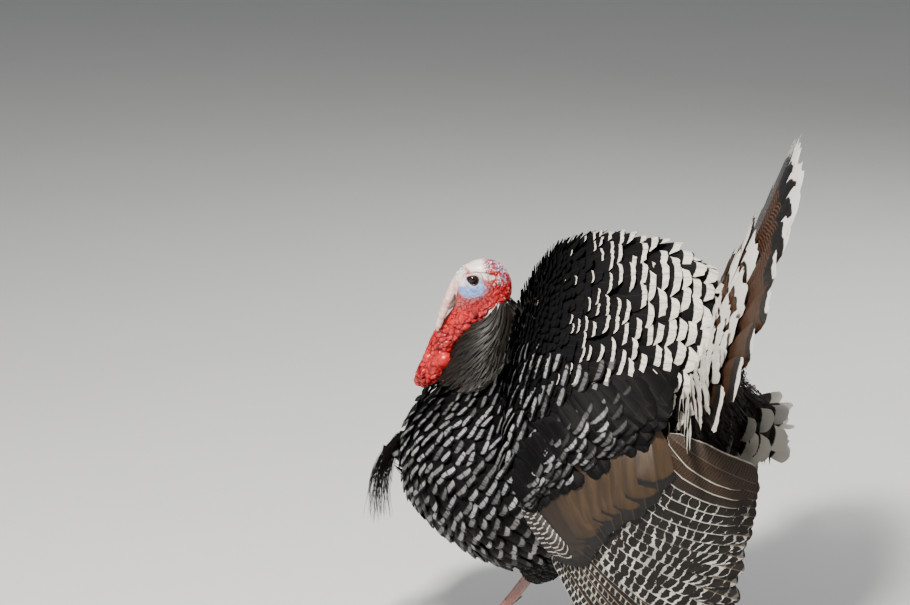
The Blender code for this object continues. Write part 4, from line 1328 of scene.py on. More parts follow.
def make_undertail(finish):
    """Feathers under the tail in layers, and more at each side, each with a broad square white tip."""
    rng = np.random.default_rng(71)
    rows = []
    for share, number, stand in UNDERTAIL_LAYERS:
        lengths = tuple(share * value for value in UNDERTAIL_LENGTHS)
        turn, length = fan_row(number, UNDERTAIL_SPREAD * 1.15, lengths, 1.4)
        length = length * rng.uniform(0.88, 1.04, number)
        rows.append(np.broadcast_arrays(turn + rng.uniform(-0.08, 0.08, number), length, stand))
    degrees, length, stand = np.array(UNDERTAIL_SIDES).T
    rows += [(np.radians(sign * degrees), length, stand) for _, sign in SIDES]
    turn, length, stand = (np.concatenate(parts) for parts in zip(*rows))
    count = len(turn)
    hub = 0.030
    tilt = rng.uniform(-0.15, 0.15, count) - 2.2 * np.clip(turn / 0.45, -1, 1)
    narrow = 1 / np.hypot(1.0, tilt)
    roots = np.stack((turn, np.full(count, hub), 0.2 * stand), -1)
    along = np.stack((rng.uniform(-0.6, 0.6, count), np.ones(count), np.zeros(count)), -1)
    across = np.broadcast_to((9.0, 0.0, 0.0), (count, 3))
    piece = feathers(
        "undertail_feathers", finish, on_undertail, roots, along, across, length - hub, 0.0185 * narrow,
        shape="square", lift=(0.0, stand + rng.uniform(-0.003, 0.003, count)), camber=0.30 * narrow,
        tilt=tilt, thickness=0.0009, tip_round=0.035, fray=0.015, rows=20, columns=9, seed=72,
        strips=True, marks={"fringe": 0.0},
    )
    return dress(piece, "undertail_feather", "undertail_coverts")


# ---- Wings ---------------------------------------------------------------------------------------
def wing_feathers(name, finish, sign, start, end, half, stand, seed, sweep=0.0, **more):
    """Feathers on the wing, each from its start to its end, given as y and z, bent upward by sweep."""
    chord = end - start
    bend = math.atan(sweep)
    length = np.linalg.norm(chord, axis=-1) * math.cos(bend)
    ahead = unit(chord)
    above = np.stack((-ahead[:, 1], ahead[:, 0]), axis=-1)
    heading = ahead * math.cos(bend) - above * math.sin(bend)
    above = np.stack((-heading[:, 1], heading[:, 0]), axis=-1)
    count = len(start)
    flat = np.zeros((count, 1))
    roots = np.concatenate((start, np.broadcast_to(stand, (count,))[:, None]), axis=1)
    along, across = np.concatenate((heading, flat), axis=1), np.concatenate((above, flat), axis=1)
    return feathers(
        name, finish, on_wing(sign), roots, along, across, length, half,
        strips=True, seed=seed, sweep=sweep, **more,
    )


def make_wing(side, sign, finishes):
    """Primaries, secondaries, bronze coverts, barred small coverts and the glossy shoulder of one wing."""
    rng = np.random.default_rng(80 + sign)
    share = np.linspace(0.012, PRIMARY_SHARE - 0.02, PRIMARIES)
    root, end, tip = (wing_line(line, share) for line in (WING_ROOTS, WING_COVERT_ENDS, WING_TIPS))
    # Primaries: wear_and_shade grows their dark cells as painted shade
    piece = wing_feathers(
        f"primary_feathers_{side}", finishes["primary"], sign, root + 0.5 * (end - root), tip, half=0.0180,
        stand=-0.0030, seed=81, sweep=0.03, shape="flight", lift=(-0.0030, 0.0), camber=0.05, tilt=-0.14,
        thickness=0.0010, tip_round=0.03, fray=0.008, rows=44, columns=9,
        marks={"wear_and_shade": rng.uniform(0.15, 0.50, PRIMARIES)},
    )
    dress(piece, "flight_feather", f"primaries_{side}")
    share = np.linspace(PRIMARY_SHARE, 0.985, SECONDARIES)
    root, end, tip = (wing_line(line, share) for line in (WING_ROOTS, WING_COVERT_ENDS, WING_TIPS))
    tip = tip + (end - tip) * rng.uniform(0.0, 0.05, SECONDARIES)[:, None]
    # Inner secondaries: wear_and_shade is real wear, which turns them plain brown
    wear_and_shade = 0.34 * smoothstep(0.66, 0.76, share) + 0.66 * smoothstep(0.86, 0.93, share)
    wear_and_shade = np.clip(wear_and_shade + rng.uniform(-0.10, 0.10, SECONDARIES), 0, 1)
    piece = wing_feathers(
        f"secondary_feathers_{side}", finishes["secondary"], sign, root + 0.5 * (end - root), tip,
        half=0.0235, stand=-0.0015, seed=82, sweep=0.14, shape="square", lift=(-0.0030, 0.0), camber=0.06,
        tilt=-0.16, thickness=0.0010, tip_round=0.075, fray=0.004, rows=36, columns=9, marks={"wear_and_shade": wear_and_shade},
    )
    dress(piece, "flight_feather", f"secondaries_{side}")
    # Kinds of covert: 0 the long bronze ones, 1 the dusky ones before them, 2 the small barred ones in front
    spans = ((0.52, 0.985, 10), (0.20, 0.50, 8), (0.02, 0.22, 8))
    share = np.concatenate([np.linspace(*span) for span in spans])
    kind = np.repeat((0, 1, 2), [number for _, _, number in spans])
    back = np.where(kind == 0, 0.20 - 0.30 * np.clip(share - 0.80, 0, 1), 0.12)
    root, end = wing_line(WING_ROOTS, share), wing_line(WING_COVERT_ENDS, np.clip(share - back, 0, 1))
    start = root - (end - root) * 0.20
    shorter = np.where(kind == 2, 0.14, 0.0) + rng.uniform(-0.02, 0.03, len(share))
    dusky = np.where(kind == 0, 0.85 * smoothstep(0.68, 0.57, share), 1.0)
    piece = wing_feathers(
        f"covert_feathers_{side}", finishes["covert"], sign, start, end + (root - end) * shorter[:, None],
        half=np.array((0.0265, 0.0170, 0.0095))[kind], stand=np.array((0.0010, 0.0000, 0.0035))[kind],
        seed=83, shape="square", lift=(-0.006, 0.0080), rise=0.8, camber=0.07, curl=0.05, tilt=-0.10,
        thickness=0.0009, tip_round=0.06, fray=0.02, rows=16, columns=7,
        marks={"dusky": dusky, "barred": (kind == 2) * 1.0},
    )
    dress(piece, "wing_covert", f"wing_coverts_{side}")
    make_shoulder(side, sign, finishes["shoulder"], rng)


def make_shoulder(side, sign, finish, rng):
    """Rounded glossy feathers in rows from the back down to the bronze coverts, the last row plain velvet."""
    rows = []
    for k in range(SHOULDER_ROWS):
        fall = k / (SHOULDER_ROWS - 1)
        number = 9 if fall < 1 else 11
        at = (np.arange(number) + 0.5 * (k % 2) + rng.uniform(-0.25, 0.25, number)) / number
        lower = wing_line(WING_ROOTS, SHOULDER_START + (1 - SHOULDER_START) * np.clip(at, 0, 1))
        upper = line_at(at, np.linspace(0, 1, 101), smooth_path(SHOULDER_UPPER, 101))
        spot = upper + (lower - upper) * (fall + 0.04 * rng.uniform(-1, 1, number))[:, None] + (0, 0.004)
        rows.append(np.column_stack((spot, at, np.full(number, fall))))
    y, z, at, fall = np.concatenate(rows).T
    count = len(y)
    last = fall > 0.95
    heading = np.radians(-42.0 + 8.0 * (1 - at) - 14.0 * last + rng.uniform(-9, 9, count))
    along = np.stack((np.cos(heading), np.sin(heading), np.zeros(count)), -1)
    across = np.stack((-along[:, 1], along[:, 0], np.zeros(count)), -1)
    length = np.where(last, 0.052, 0.046) * (0.85 + 0.25 * at) * rng.uniform(0.9, 1.1, count)
    stand = 0.001 + 0.012 * np.sin(math.pi * np.clip(fall, 0, 1)) + 0.004 * last
    roots = np.stack((y, z, stand), -1) - along * (length * 0.60)[:, None]
    bake = np.stack((0.03 + 0.94 * np.clip(at, 0, 1), 0.03 + 0.94 * fall), -1)
    # Strength of the painted glint: on the shoulder's front part below its top row, none on the last row
    shoulder_glint = (1 - smoothstep(0.03, 0.08, y)) * smoothstep(0.0, 0.25, fall) * rng.uniform(0.10, 1.0, count)
    half = np.where(last, 0.0165, 0.0180) * rng.uniform(0.75, 1.15, count)
    piece = feathers(
        f"shoulder_feathers_{side}", finish, on_shoulder(sign), roots, along, across, length, half,
        shape="square", lift=(-0.010, 0.002), rise=1.2, camber=0.28, curl=0.05, tip_round=0.05, fray=0.05,
        rows=8, columns=7, seed=84, bake=bake, tilt=rng.uniform(-0.18, 0.18, count),
        marks={"glint": np.where(last, 0.0, shoulder_glint), "pale": 0.0, "band": 0.0082},
    )
    return dress(piece, "velvet_feather", f"scapulars_{side}")


# ---- Skin ----------------------------------------------------------------------------------------
# Outline of head and bare neck: chin-side point, crown-side point and half width of a ring, as y, z, y, z, x
HEAD_RINGS = (
    (-0.1935, 0.5610, -0.1955, 0.5720, 0.0050),
    (-0.1940, 0.5570, -0.1960, 0.5860, 0.0125),
    (-0.1950, 0.5545, -0.1915, 0.6000, 0.0180),
    (-0.1960, 0.5530, -0.1835, 0.6120, 0.0212),
    (-0.1970, 0.5510, -0.1700, 0.6205, 0.0234),
    (-0.1985, 0.5490, -0.1530, 0.6235, 0.0243),
    (-0.2005, 0.5465, -0.1360, 0.6200, 0.0245),
    (-0.2025, 0.5435, -0.1220, 0.6085, 0.0240),
    (-0.2050, 0.5405, -0.1140, 0.5920, 0.0235),
    (-0.2075, 0.5370, -0.1140, 0.5740, 0.0228),
    (-0.2110, 0.5320, -0.1230, 0.5560, 0.0215),
    (-0.2155, 0.5255, -0.1360, 0.5400, 0.0202),
    (-0.2205, 0.5185, -0.1520, 0.5260, 0.0192),
    (-0.2265, 0.5095, -0.1700, 0.5130, 0.0186),
    (-0.2325, 0.4990, -0.1860, 0.5000, 0.0184),
    (-0.2375, 0.4870, -0.1980, 0.4850, 0.0188),
    (-0.2425, 0.4730, -0.2040, 0.4690, 0.0198),
    (-0.2485, 0.4600, -0.2080, 0.4550, 0.0208),
    (-0.2545, 0.4460, -0.2130, 0.4420, 0.0195),
    (-0.2540, 0.4320, -0.2230, 0.4310, 0.0140),
    (-0.2480, 0.4235, -0.2400, 0.4225, 0.0040),
)
# Bulbs at the foot of the throat: x, y, z, radius
BULBS = (
    (0.0135, -0.2125, 0.4690, 0.0125),
    (-0.0135, -0.2140, 0.4670, 0.0115),
    (0.0110, -0.2370, 0.4700, 0.0085),
    (-0.0100, -0.2360, 0.4720, 0.0085),
    (0.0120, -0.2440, 0.4480, 0.0090),
    (-0.0130, -0.2420, 0.4500, 0.0095),
    (0.0040, -0.2500, 0.4340, 0.0085),
    (-0.0070, -0.2480, 0.4300, 0.0080),
    (0.0130, -0.2270, 0.4480, 0.0088),
    (-0.0140, -0.2270, 0.4500, 0.0085),
)


def head_form():
    """Rings between the chin-side and crown-side outlines: an oval of each ring's length and half width."""
    rings = smooth_path(HEAD_RINGS, 90)
    turn = np.linspace(0, 2 * math.pi, 48, endpoint=False)
    chin, crown = rings[:, None, 0:2], rings[:, None, 2:4]
    middle, reach = (chin + crown) / 2, (crown - chin) / 2
    yz = middle + reach * np.cos(turn)[None, :, None]
    bend = np.sign(np.sin(turn)) * np.abs(np.sin(turn)) ** 0.85
    x = rings[:, 4, None] * bend[None, :]
    return closed_tube(np.concatenate((x[..., None], yz), axis=-1))


def sphere_form(centre, radius, rings=10, sides=16):
    """A ball as a tube of rings along X."""
    angle = np.linspace(0.12, math.pi - 0.12, rings)
    path = np.asarray(centre) + np.stack((radius * np.cos(angle), 0 * angle, 0 * angle), -1)
    return closed_tube(tube_rings(path, radius * np.sin(angle), sides))


def snood_form():
    """The snood: a soft tube whose girth ripples, from inside the forehead to a blunt tip."""
    path = smooth_path(((0.0, -0.1690, 0.6060), *SNOOD_PATH), 70)
    share = np.linspace(0, 1, 70)
    stops = (0, 0.2, 0.4, 0.75, 0.93, 1)
    girth = np.interp(share, stops, (0.0100, 0.0098, 0.0076, 0.0064, 0.0048, 0.0012))
    girth = girth * (1 + 0.035 * np.sin(share * 95) + 0.03 * np.sin(share * 41 + 1))
    return closed_tube(tube_rings(path, girth, 24, 0.86))


def shape_eye_sockets(points):
    """Lids: near each eye the skin follows the ball a little above it, and drops behind it inside the slit.

    Gives how far each point is on a lid's edge, and how deep it lies in the folds above and below the eye;
    the finish darkens these folds as painted shade.
    """
    lid, crease = np.zeros(len(points)), np.zeros(len(points))
    slant = math.radians(16)
    lid_reach = EYE_RADIUS + 0.0045
    for _, sign in SIDES:
        dy, dz = (points - EYE_PLACE * (sign, 1, 1)).T[1:]
        x = points[:, 0]
        on_side = x * sign > 0.006
        spread = np.hypot(dy, dz)
        along = dy * math.cos(slant) - dz * math.sin(slant)
        up = dy * math.sin(slant) + dz * math.cos(slant)
        almond = np.hypot(along / 0.0074, up / (0.0056 - 0.0014 * np.clip(-along / 0.0074, -1, 1)))
        ball = np.sqrt(np.clip((EYE_RADIUS + 0.0011) ** 2 - spread**2, 0, None))
        raised = sign * np.maximum(EYE_PLACE[0] + ball, x * sign * 0.985)
        lidded = x + (raised - x) * smoothstep(lid_reach, EYE_RADIUS * 0.86, spread)
        sunk = sign * (EYE_PLACE[0] + 0.0030)
        placed = lidded + (sunk - lidded) * smoothstep(1.06, 0.90, almond)
        rim = sign * hump(almond - 1.12, 0.10) * 0.0007
        points[:, 0] = np.where(on_side & (spread < lid_reach), placed + rim, x)
        lid = np.where(on_side, np.maximum(lid, smoothstep(1.50, 1.22, almond)), lid)
        wander = 0.22 * soft_noise(points, 0.006, 16)
        fold = hump(almond + 0.4 * wander - 2.05, 0.10) * smoothstep(-0.001, 0.004, dz)
        brow = hump(dz - 0.0125 + 0.10 * np.abs(dy) + 0.004 * wander, 0.0008)
        brow = brow * smoothstep(-0.004, 0.004, dy) * smoothstep(0.036, 0.026, dy)
        below = smoothstep(0.003, -0.003, dz)
        bags = [0.7 * hump(almond + wander - at, 0.09) * below for at in (2.5, 3.3, 4.0)]
        crease = np.where(on_side, np.maximum.reduce([crease, fold, brow, *bags]), crease)
    return lid, crease


def make_bare_head():
    """Head, bare neck, snood and bulbs as one fine skin, with lids, wrinkles, pebbles and colour marks."""
    form = joined(head_form(), snood_form(), *(sphere_form(bulb[:3], bulb[3]) for bulb in BULBS))
    mesh = fused("bare_head", form, 0.00095, 4)
    points, normals = mesh_points(mesh), mesh_normals(mesh)
    x, y, z = points.T
    warp = 0.0055 * np.stack([soft_noise(points, 0.011, seed) for seed in (1, 2, 3)], axis=-1)
    to_bulb = np.min([np.linalg.norm(points - bulb[:3], axis=-1) / bulb[3] for bulb in BULBS[:4]], axis=0)
    smooth_bulb = smoothstep(1.40, 1.10, to_bulb)
    snood_line = smooth_path(SNOOD_PATH, 60)
    to_snood = np.linalg.norm(points[:, None] - snood_line[None], axis=-1)
    snood_share = to_snood.argmin(1) / 59
    snood_girth = np.interp(snood_share, (0, 0.3, 0.7, 1), (0.0098, 0.0080, 0.0064, 0.0050))
    on_snood = smoothstep(1.45, 1.20, to_snood.min(1) / snood_girth) * smoothstep(0.10, 0.34, snood_share)
    to_eye = np.hypot(y - EYE_PLACE[1], z - EYE_PLACE[2])
    down = (0.5735 - z) + 0.50 * (y + 0.165)
    throat = smoothstep(-0.004, 0.016, down)
    behind = smoothstep(-0.150, -0.136, y + 0.30 * (z - 0.59))
    cheek = smoothstep(0.019, 0.026, np.hypot((y + 0.1700) / 1.15, z - 0.5885))
    crown = smoothstep(0.606, 0.611, z + 0.50 * (y + 0.172)) * (1 - behind)
    wrinkled = np.clip(behind + throat + cheek * (1 - crown), 0, 1) * (1 - on_snood)
    # Pebbles: small and drawn out along the folds on nape and cheek, larger and rounder down the throat
    fold = unit(np.array((0.0, 0.72, 0.69)))
    stretched = points + warp
    along_fold = (stretched @ fold)[:, None] * fold
    near_small, gap_small = pebbles((stretched - 0.50 * along_fold) / 0.0036, 7)
    near_large, gap_large = pebbles((stretched - 0.25 * along_fold) / 0.0080, 9)
    low = smoothstep(0.014, 0.034, down)
    dome = (1 - low) * np.sqrt(np.clip(1 - (near_small / 0.80) ** 2, 0, 1)) * 0.0014
    dome = dome + low * np.sqrt(np.clip(1 - (near_large / 0.80) ** 2, 0, 1)) * 0.0040
    gap = (1 - low) * gap_small + low * gap_large
    dome = dome + (0.0022 - dome) * smooth_bulb
    # Pits between the pebbles, darkened in the finish as painted shade
    pit = smoothstep(0.34, 0.0, gap) ** 1.6 * wrinkled * (1 - smooth_bulb)
    ripple = np.sin((snood_share * 26 + 0.8 * soft_noise(points, 0.004, 4)) * 2 * math.pi)
    ripple = ripple * 0.00022 * on_snood
    lump = 0.0010 * soft_noise(points, 0.012, 8) * (1 - on_snood)
    push = (dome - 0.0010) * wrinkled + ripple + lump * 0.6
    points = points + normals * push[:, None]
    back_line = behind_throat(np.stack((x, y, z), axis=-1))
    lid, brow = shape_eye_sockets(points)
    set_points(mesh, points)
    powder = np.hypot((y + 0.1710) / 0.0215, (z - 0.5850) / 0.0180) + 0.14 * soft_noise(points, 0.005, 6)
    mix = soft_noise(points, 0.0045, 12)
    bare_nape = behind * (1 - throat)
    nape_blue = bare_nape * smoothstep(0.0, 0.4, mix) * 0.6
    patches = smoothstep(-0.1, 0.3, soft_noise(points, 0.004, 14)) * smoothstep(0.55, 0.25, near_small)
    spot = smoothstep(1.15, 0.85, np.hypot((y + 0.1405) / 0.0050, (z - 0.6000) / 0.0038))
    round_eye = smoothstep(0.0125, 0.0095, to_eye)
    forehead = smoothstep(-0.176, -0.184, y) * (z > 0.586)
    white = np.clip(crown + 0.9 * patches * bare_nape, 0, 1)
    white = np.maximum.reduce([white, spot * 0.8, round_eye * 0.45, forehead])
    speck = smoothstep(-0.034, -0.006, back_line) * smoothstep(0.50, 0.22, near_small)
    speck = speck * smoothstep(-0.1, 0.3, mix) * smoothstep(0.49, 0.51, z)
    red = np.clip(throat + 0.90 * behind * smoothstep(-0.3, 0.2, -mix), 0, 1)
    lower_wrinkle = smoothstep(-0.016, -0.004, down) * (1 - throat)
    red = np.maximum(red, lower_wrinkle * 0.55)
    blue = np.maximum(smoothstep(1.08, 0.86, powder) * (1 - crown), nape_blue) * (1 - throat)
    mark_points(
        mesh, red=red, blue=blue * (1 - white * 0.55), lid=lid,
        white=np.maximum(white * (1 - throat), 0.6 * speck * throat),
        crease=np.clip(pit * (1 - 0.5 * spot) + brow, 0, 1), snood=on_snood, under=np.zeros(len(points)),
    )
    return mesh


def make_skin(finish):
    """The one skin: the bare head joined to a coarse body that lies under the plumage by the coat's depth."""
    stations = smooth_path(TRUNK_STATIONS, 40)
    turn = np.linspace(0, 2 * math.pi, 48, endpoint=False)
    y, back, belly, half, widest = (stations[:, i, None] for i in range(5))
    back, belly = back - COAT_DEPTH, belly + COAT_DEPTH
    half = np.maximum(half - COAT_DEPTH, 0.006)
    middle = belly + widest * (back - belly)
    reach = np.where(np.sin(turn) > 0, back - middle, middle - belly)
    narrow = 1 - TRUNK_PEAK * np.clip(np.sin(turn), 0, 1) ** 2
    inset = y * 0.97 - 0.001
    trunk = np.stack((half * np.cos(turn) * narrow, inset + 0 * turn, middle + reach * np.sin(turn)), axis=-1)
    neck = tube_rings(smooth_path(NECK_PATH, 24), share_at(24, NECK_FLESH), 32)
    forms = [closed_tube(trunk), closed_tube(neck)]
    for side, sign in SIDES:
        girth = np.maximum(share_at(16, THIGH_GIRTH) - 0.007, 0.009)
        forms.append(closed_tube(tube_rings(smooth_path(thigh_path(side, sign, 0.010), 16), girth, 24)))
    body = add_object("body_form", fused("body_form", joined(*forms), 0.0065, 6))
    head = add_object("skin", make_bare_head(), finish)
    union = head.modifiers.new("join_body", "BOOLEAN")
    union.operation = "UNION"
    union.object = body
    union.solver = "EXACT"
    mesh = evaluated_mesh(head)
    bpy.data.objects.remove(body, do_unlink=True)
    points = mesh_points(mesh)
    # Marks the skin under the plumage and behind the throat to be painted near black, as shade between the
    # feathers
    under = (trunk_level(points) < 0.02) | (neck_depth(points) < -0.002)
    under |= (behind_throat(points) > 0.003) & (points[:, 2] < 0.579) & (points[:, 2] > 0.487)
    mark_points(mesh, under=under.astype(float))
    mesh.materials.clear()
    mesh.shade_smooth()
    piece = add_object("skin", mesh, finish)
    nodes = ("head", "neck", "throat", "caruncles", "snood", "breast", "belly", "mantle", "rump")
    return dress(piece, "head_skin", *nodes, "thigh_left", "thigh_right")


def neck_depth(points):
    """How far a point stands outside the feathered neck's tube: below 0 inside it, 1 before the throat."""
    line = smooth_path(NECK_PATH, 40)
    gap = (np.linalg.norm(points[:, None] - line[None], axis=-1) - share_at(40, NECK_FLESH)).min(1)
    return np.where((behind_throat(points) < 0) | (points[:, 2] > 0.56), 1.0, gap)


# ---- Bill, eyes, claws, legs and beard -----------------------------------------------------------
def horn_form(path, radii, sides=20, flatten=1.0):
    """A horn: rings along a path, with its UV round and along it."""
    rings = tube_rings(path, radii, sides, flatten)
    points, quads = closed_tube(rings)
    count = len(path)
    around = np.tile(np.abs(np.linspace(-1, 1, sides)), count)
    along = np.repeat(np.linspace(0, 1, count), sides)
    maps = np.stack((np.append(around, (0.5, 0.5)), np.append(along, (0.0, 1.0))), -1)
    return points, quads, maps


def horn_piece(name, finish, forms, slot, nodes):
    """One piece of several horns, with no sharp edges."""
    points, quads = joined(*(form[:2] for form in forms))
    maps = {"vane": np.concatenate([form[2] for form in forms])}
    mesh = mesh_of(name, points, quads, maps, smooth_angle=180.0)
    return dress(add_object(name, mesh, finish), slot, *nodes)


def make_bill(finish):
    """Upper bill with its hooked tip, and the lower bill under it."""
    forward = np.array((0.0, -math.cos(BILL_PITCH), -math.sin(BILL_PITCH)))
    share = np.linspace(0, 1, 26)[:, None]
    start = BILL_ROOT - 0.006 * forward
    upper = start + share * (BILL_LENGTH + 0.006) * forward + share**3 * (0, 0.0030, -0.0070)
    girth = 0.0088 * (1 - share[:, 0] ** 2.2) ** 0.8 + 0.0007
    form = horn_form(upper, girth, 24, 0.82)
    horn_piece("bill_top", finish, [form], "bill_horn", ("bill_upper",))
    lower = start + share * (BILL_LENGTH * 0.80 + 0.006) * forward + (0, 0.0075, -0.0072)
    form = horn_form(lower, 0.0058 * (1 - share[:, 0] ** 2.0) ** 0.8 + 0.0006, 24, 0.9)
    horn_piece("bill_bottom", finish, [form], "bill_horn", ("bill_lower",))


def make_eyes(finish):
    """Each eye is a ball with its poles at its sides, so that rings of the iris follow its own map."""
    sides = 48
    angle = np.linspace(0.02, math.pi - 0.02, 40)
    turn = np.linspace(0, 2 * math.pi, sides, endpoint=False)
    bulge = 1 + 0.05 * hump(angle, 0.5)
    for side, sign in SIDES:
        centre = EYE_PLACE * (sign, 1, 1)
        x = sign * EYE_RADIUS * np.cos(angle)[:, None] * bulge[:, None] + 0 * turn
        out = EYE_RADIUS * np.sin(angle)[:, None]
        rings = np.stack((x, out * np.cos(turn), out * np.sin(turn)), -1) + centre
        points, quads = closed_tube(rings)
        around = np.tile(np.abs(np.linspace(-1, 1, sides)), len(angle))
        along = np.repeat(angle / math.pi, sides)
        maps = np.stack((np.append(around, (0, 0)), np.append(along, (0, 1))), -1)
        mesh = mesh_of(f"eyeball_{side}", points, quads, {"vane": maps}, smooth_angle=180.0)
        dress(add_object(f"eyeball_{side}", mesh, finish), "eye", f"eye_{side}")


def toe_paths(sign, foot):
    """Each toe's line along the floor, its girth, and its claw's line."""
    for reach, heading in TOES.values():
        turn = math.radians(sign * -heading)
        ahead = np.array((math.sin(turn), -math.cos(turn), 0.0))
        share = np.linspace(0, 1, 26)
        stops = (0, 0.25, 0.5, 0.75, 0.94, 1)
        height = TOE_RADIUS * np.interp(share, stops, (0.85, 0.74, 0.82, 0.70, 0.72, 0.70))
        girth = TOE_RADIUS * np.interp(share, stops, (1.0, 0.90, 0.92, 0.82, 0.74, 0.50))
        girth = girth * (1 + 0.06 * np.sin(share * reach / 0.022 * 2 * math.pi))
        path = foot * (1, 1, 0) + share[:, None] * reach * ahead + height[:, None] * Z_AXIS
        curve = np.linspace(0, 1, 14)[:, None]
        root = path[-1] - ahead * 0.004
        arch = 0.0025 * np.sin(math.pi * curve)
        claw = root + curve * (CLAW_LENGTH + 0.004) * ahead + Z_AXIS * (arch - curve**2 * (root[2] - 0.0014))
        yield path, girth, claw


def scale_marks(points, normals, lines):
    """The scales counted along each point's nearest line, and how far it faces that line's front or top."""
    best, phase, front = np.full(len(points), 9.0), np.zeros(len(points)), np.zeros(len(points))
    for path, pitch, is_toe in lines:
        gaps = np.linalg.norm(points[:, None] - path[None], axis=-1)
        near = gaps.argmin(1)
        nearer = gaps.min(1) < best
        best = np.where(nearer, gaps.min(1), best)
        phase = np.where(nearer, runs_of(path)[near] / pitch, phase)
        ahead = np.cross(unit(np.gradient(path, axis=0))[near], X_AXIS)
        facing = normals[:, 2] if is_toe else np.abs((normals * ahead).sum(-1))
        front = np.where(nearer, facing, front)
    return phase, front


def make_legs(skin_finish, claw_finish):
    """Scaled shank, foot and toes of each leg as one skin, and its claws and spur as horn."""
    for side, sign in SIDES:
        hock, foot = (np.array(place) for place in LEGS[side])
        middle = hock + (foot - hock) * 0.5 + (0, 0.003, 0)
        line = smooth_path((hock + (0, 0.004, 0.016), hock, middle, foot), 60)
        stops = (0, 0.25, 0.4, 0.6, 0.86, 1)
        girth = share_at(60, (stops, (0.0098, 0.0106, 0.0084, 0.0074, 0.0078, 0.0092)))
        forms = [closed_tube(tube_rings(line, girth, 32, 0.88))]
        forms.append(sphere_form(foot * (1, 1, 0) + (0, 0, 0.0095), 0.0125))
        claws, lines = [], [(line, 0.0068, False)]
        for path, toe_girth, claw in toe_paths(sign, foot):
            forms.append(closed_tube(tube_rings(path, toe_girth, 24)))
            taper = 0.0038 * (1 - np.linspace(0, 1, 14) ** 1.5) + 0.0006
            claws.append(horn_form(claw, taper, 14, 0.75))
            lines.append((path, 0.0044, True))
        mesh = fused(f"leg_{side}", joined(*forms), 0.0012, 3)
        points = mesh_points(mesh)
        phase, front = scale_marks(points, mesh_normals(mesh), lines)
        points[:, 2] = np.where(points[:, 2] < 0.0012, 0.0, points[:, 2])
        set_points(mesh, points)
        mark_points(mesh, phase=phase, front=smoothstep(0.40, 0.62, front))
        mesh.materials.clear()
        piece = add_object(f"leg_skin_{side}", mesh, skin_finish)
        dress(piece, "leg_skin", f"shank_{side}", f"foot_{side}")
        nodes = [f"claw_{toe}_{side}" for toe in TOES]
        horn_piece(f"claws_of_{side}_foot", claw_finish, claws, "claw_horn", nodes)
        share = np.linspace(0, 1, 18)[:, None]
        root = hock + (foot - hock) * SPUR_PLACE
        path = root + share * SPUR_REACH * (-sign, 1, 1) + share**2 * (0, 0, 0.007)
        form = horn_form(path, 0.0054 * (1 - share[:, 0] ** 1.3) + 0.0006, 18)
        horn_piece(f"spur_horn_{side}", claw_finish, [form], "claw_horn", (f"spur_{side}",))


def make_beard(finish):
    """Coarse strands that hang from the breast and spread towards their uneven ends."""
    rng = np.random.default_rng(91)
    count = BEARD_STRANDS
    line = smooth_path(BEARD_PATH, 40)
    reach = runs_of(line)[-1]
    turn = rng.uniform(0, 2 * math.pi, count)
    out = np.sqrt(rng.uniform(0, 1, count))
    start = np.stack((np.sin(turn) * 0.0060, np.cos(turn) * 0.0085), -1) * out[:, None]
    ends = np.stack((np.sin(turn) * 0.0150, np.cos(turn) * 0.0240), -1) * out[:, None]
    ends = ends + rng.normal(0, 0.0030, ends.shape)

    def strand(points):
        share = np.clip(points[..., 1] / reach, 0, 1)
        which = np.clip(points[..., 2], 0, count - 1).astype(int)
        spine = line_at(share, np.linspace(0, 1, 40), line)
        off = start[which] + (ends[which] - start[which]) * share[..., None] ** 1.3
        wave = 0.0016 * np.sin(share * 9 + which * 1.7)
        placed = spine + np.stack((off[..., 0] + wave + points[..., 0], off[..., 1] - wave, 0 * share), -1)
        return placed, np.broadcast_to(-Y_AXIS, placed.shape)

    roots = np.stack((np.zeros(count), np.zeros(count), np.arange(count) + 0.5), -1)
    along, across = (np.broadcast_to(axis, (count, 3)) for axis in (Y_AXIS, X_AXIS))
    bake = np.stack((0.05 + 0.9 * rng.uniform(0, 1, count), np.full(count, 0.5)), -1)
    piece = feathers(
        "beard_strands", finish, strand, roots, along, across, reach * rng.uniform(0.45, 1.0, count), 0.0006,
        shape="hair", lift=(0.0, 0.0), camber=0.0, thickness=0.0008, tip_round=0.0, fray=0.0,
        rows=14, columns=3, seed=92, bake=bake,
    )
    return dress(piece, "beard", "beard")


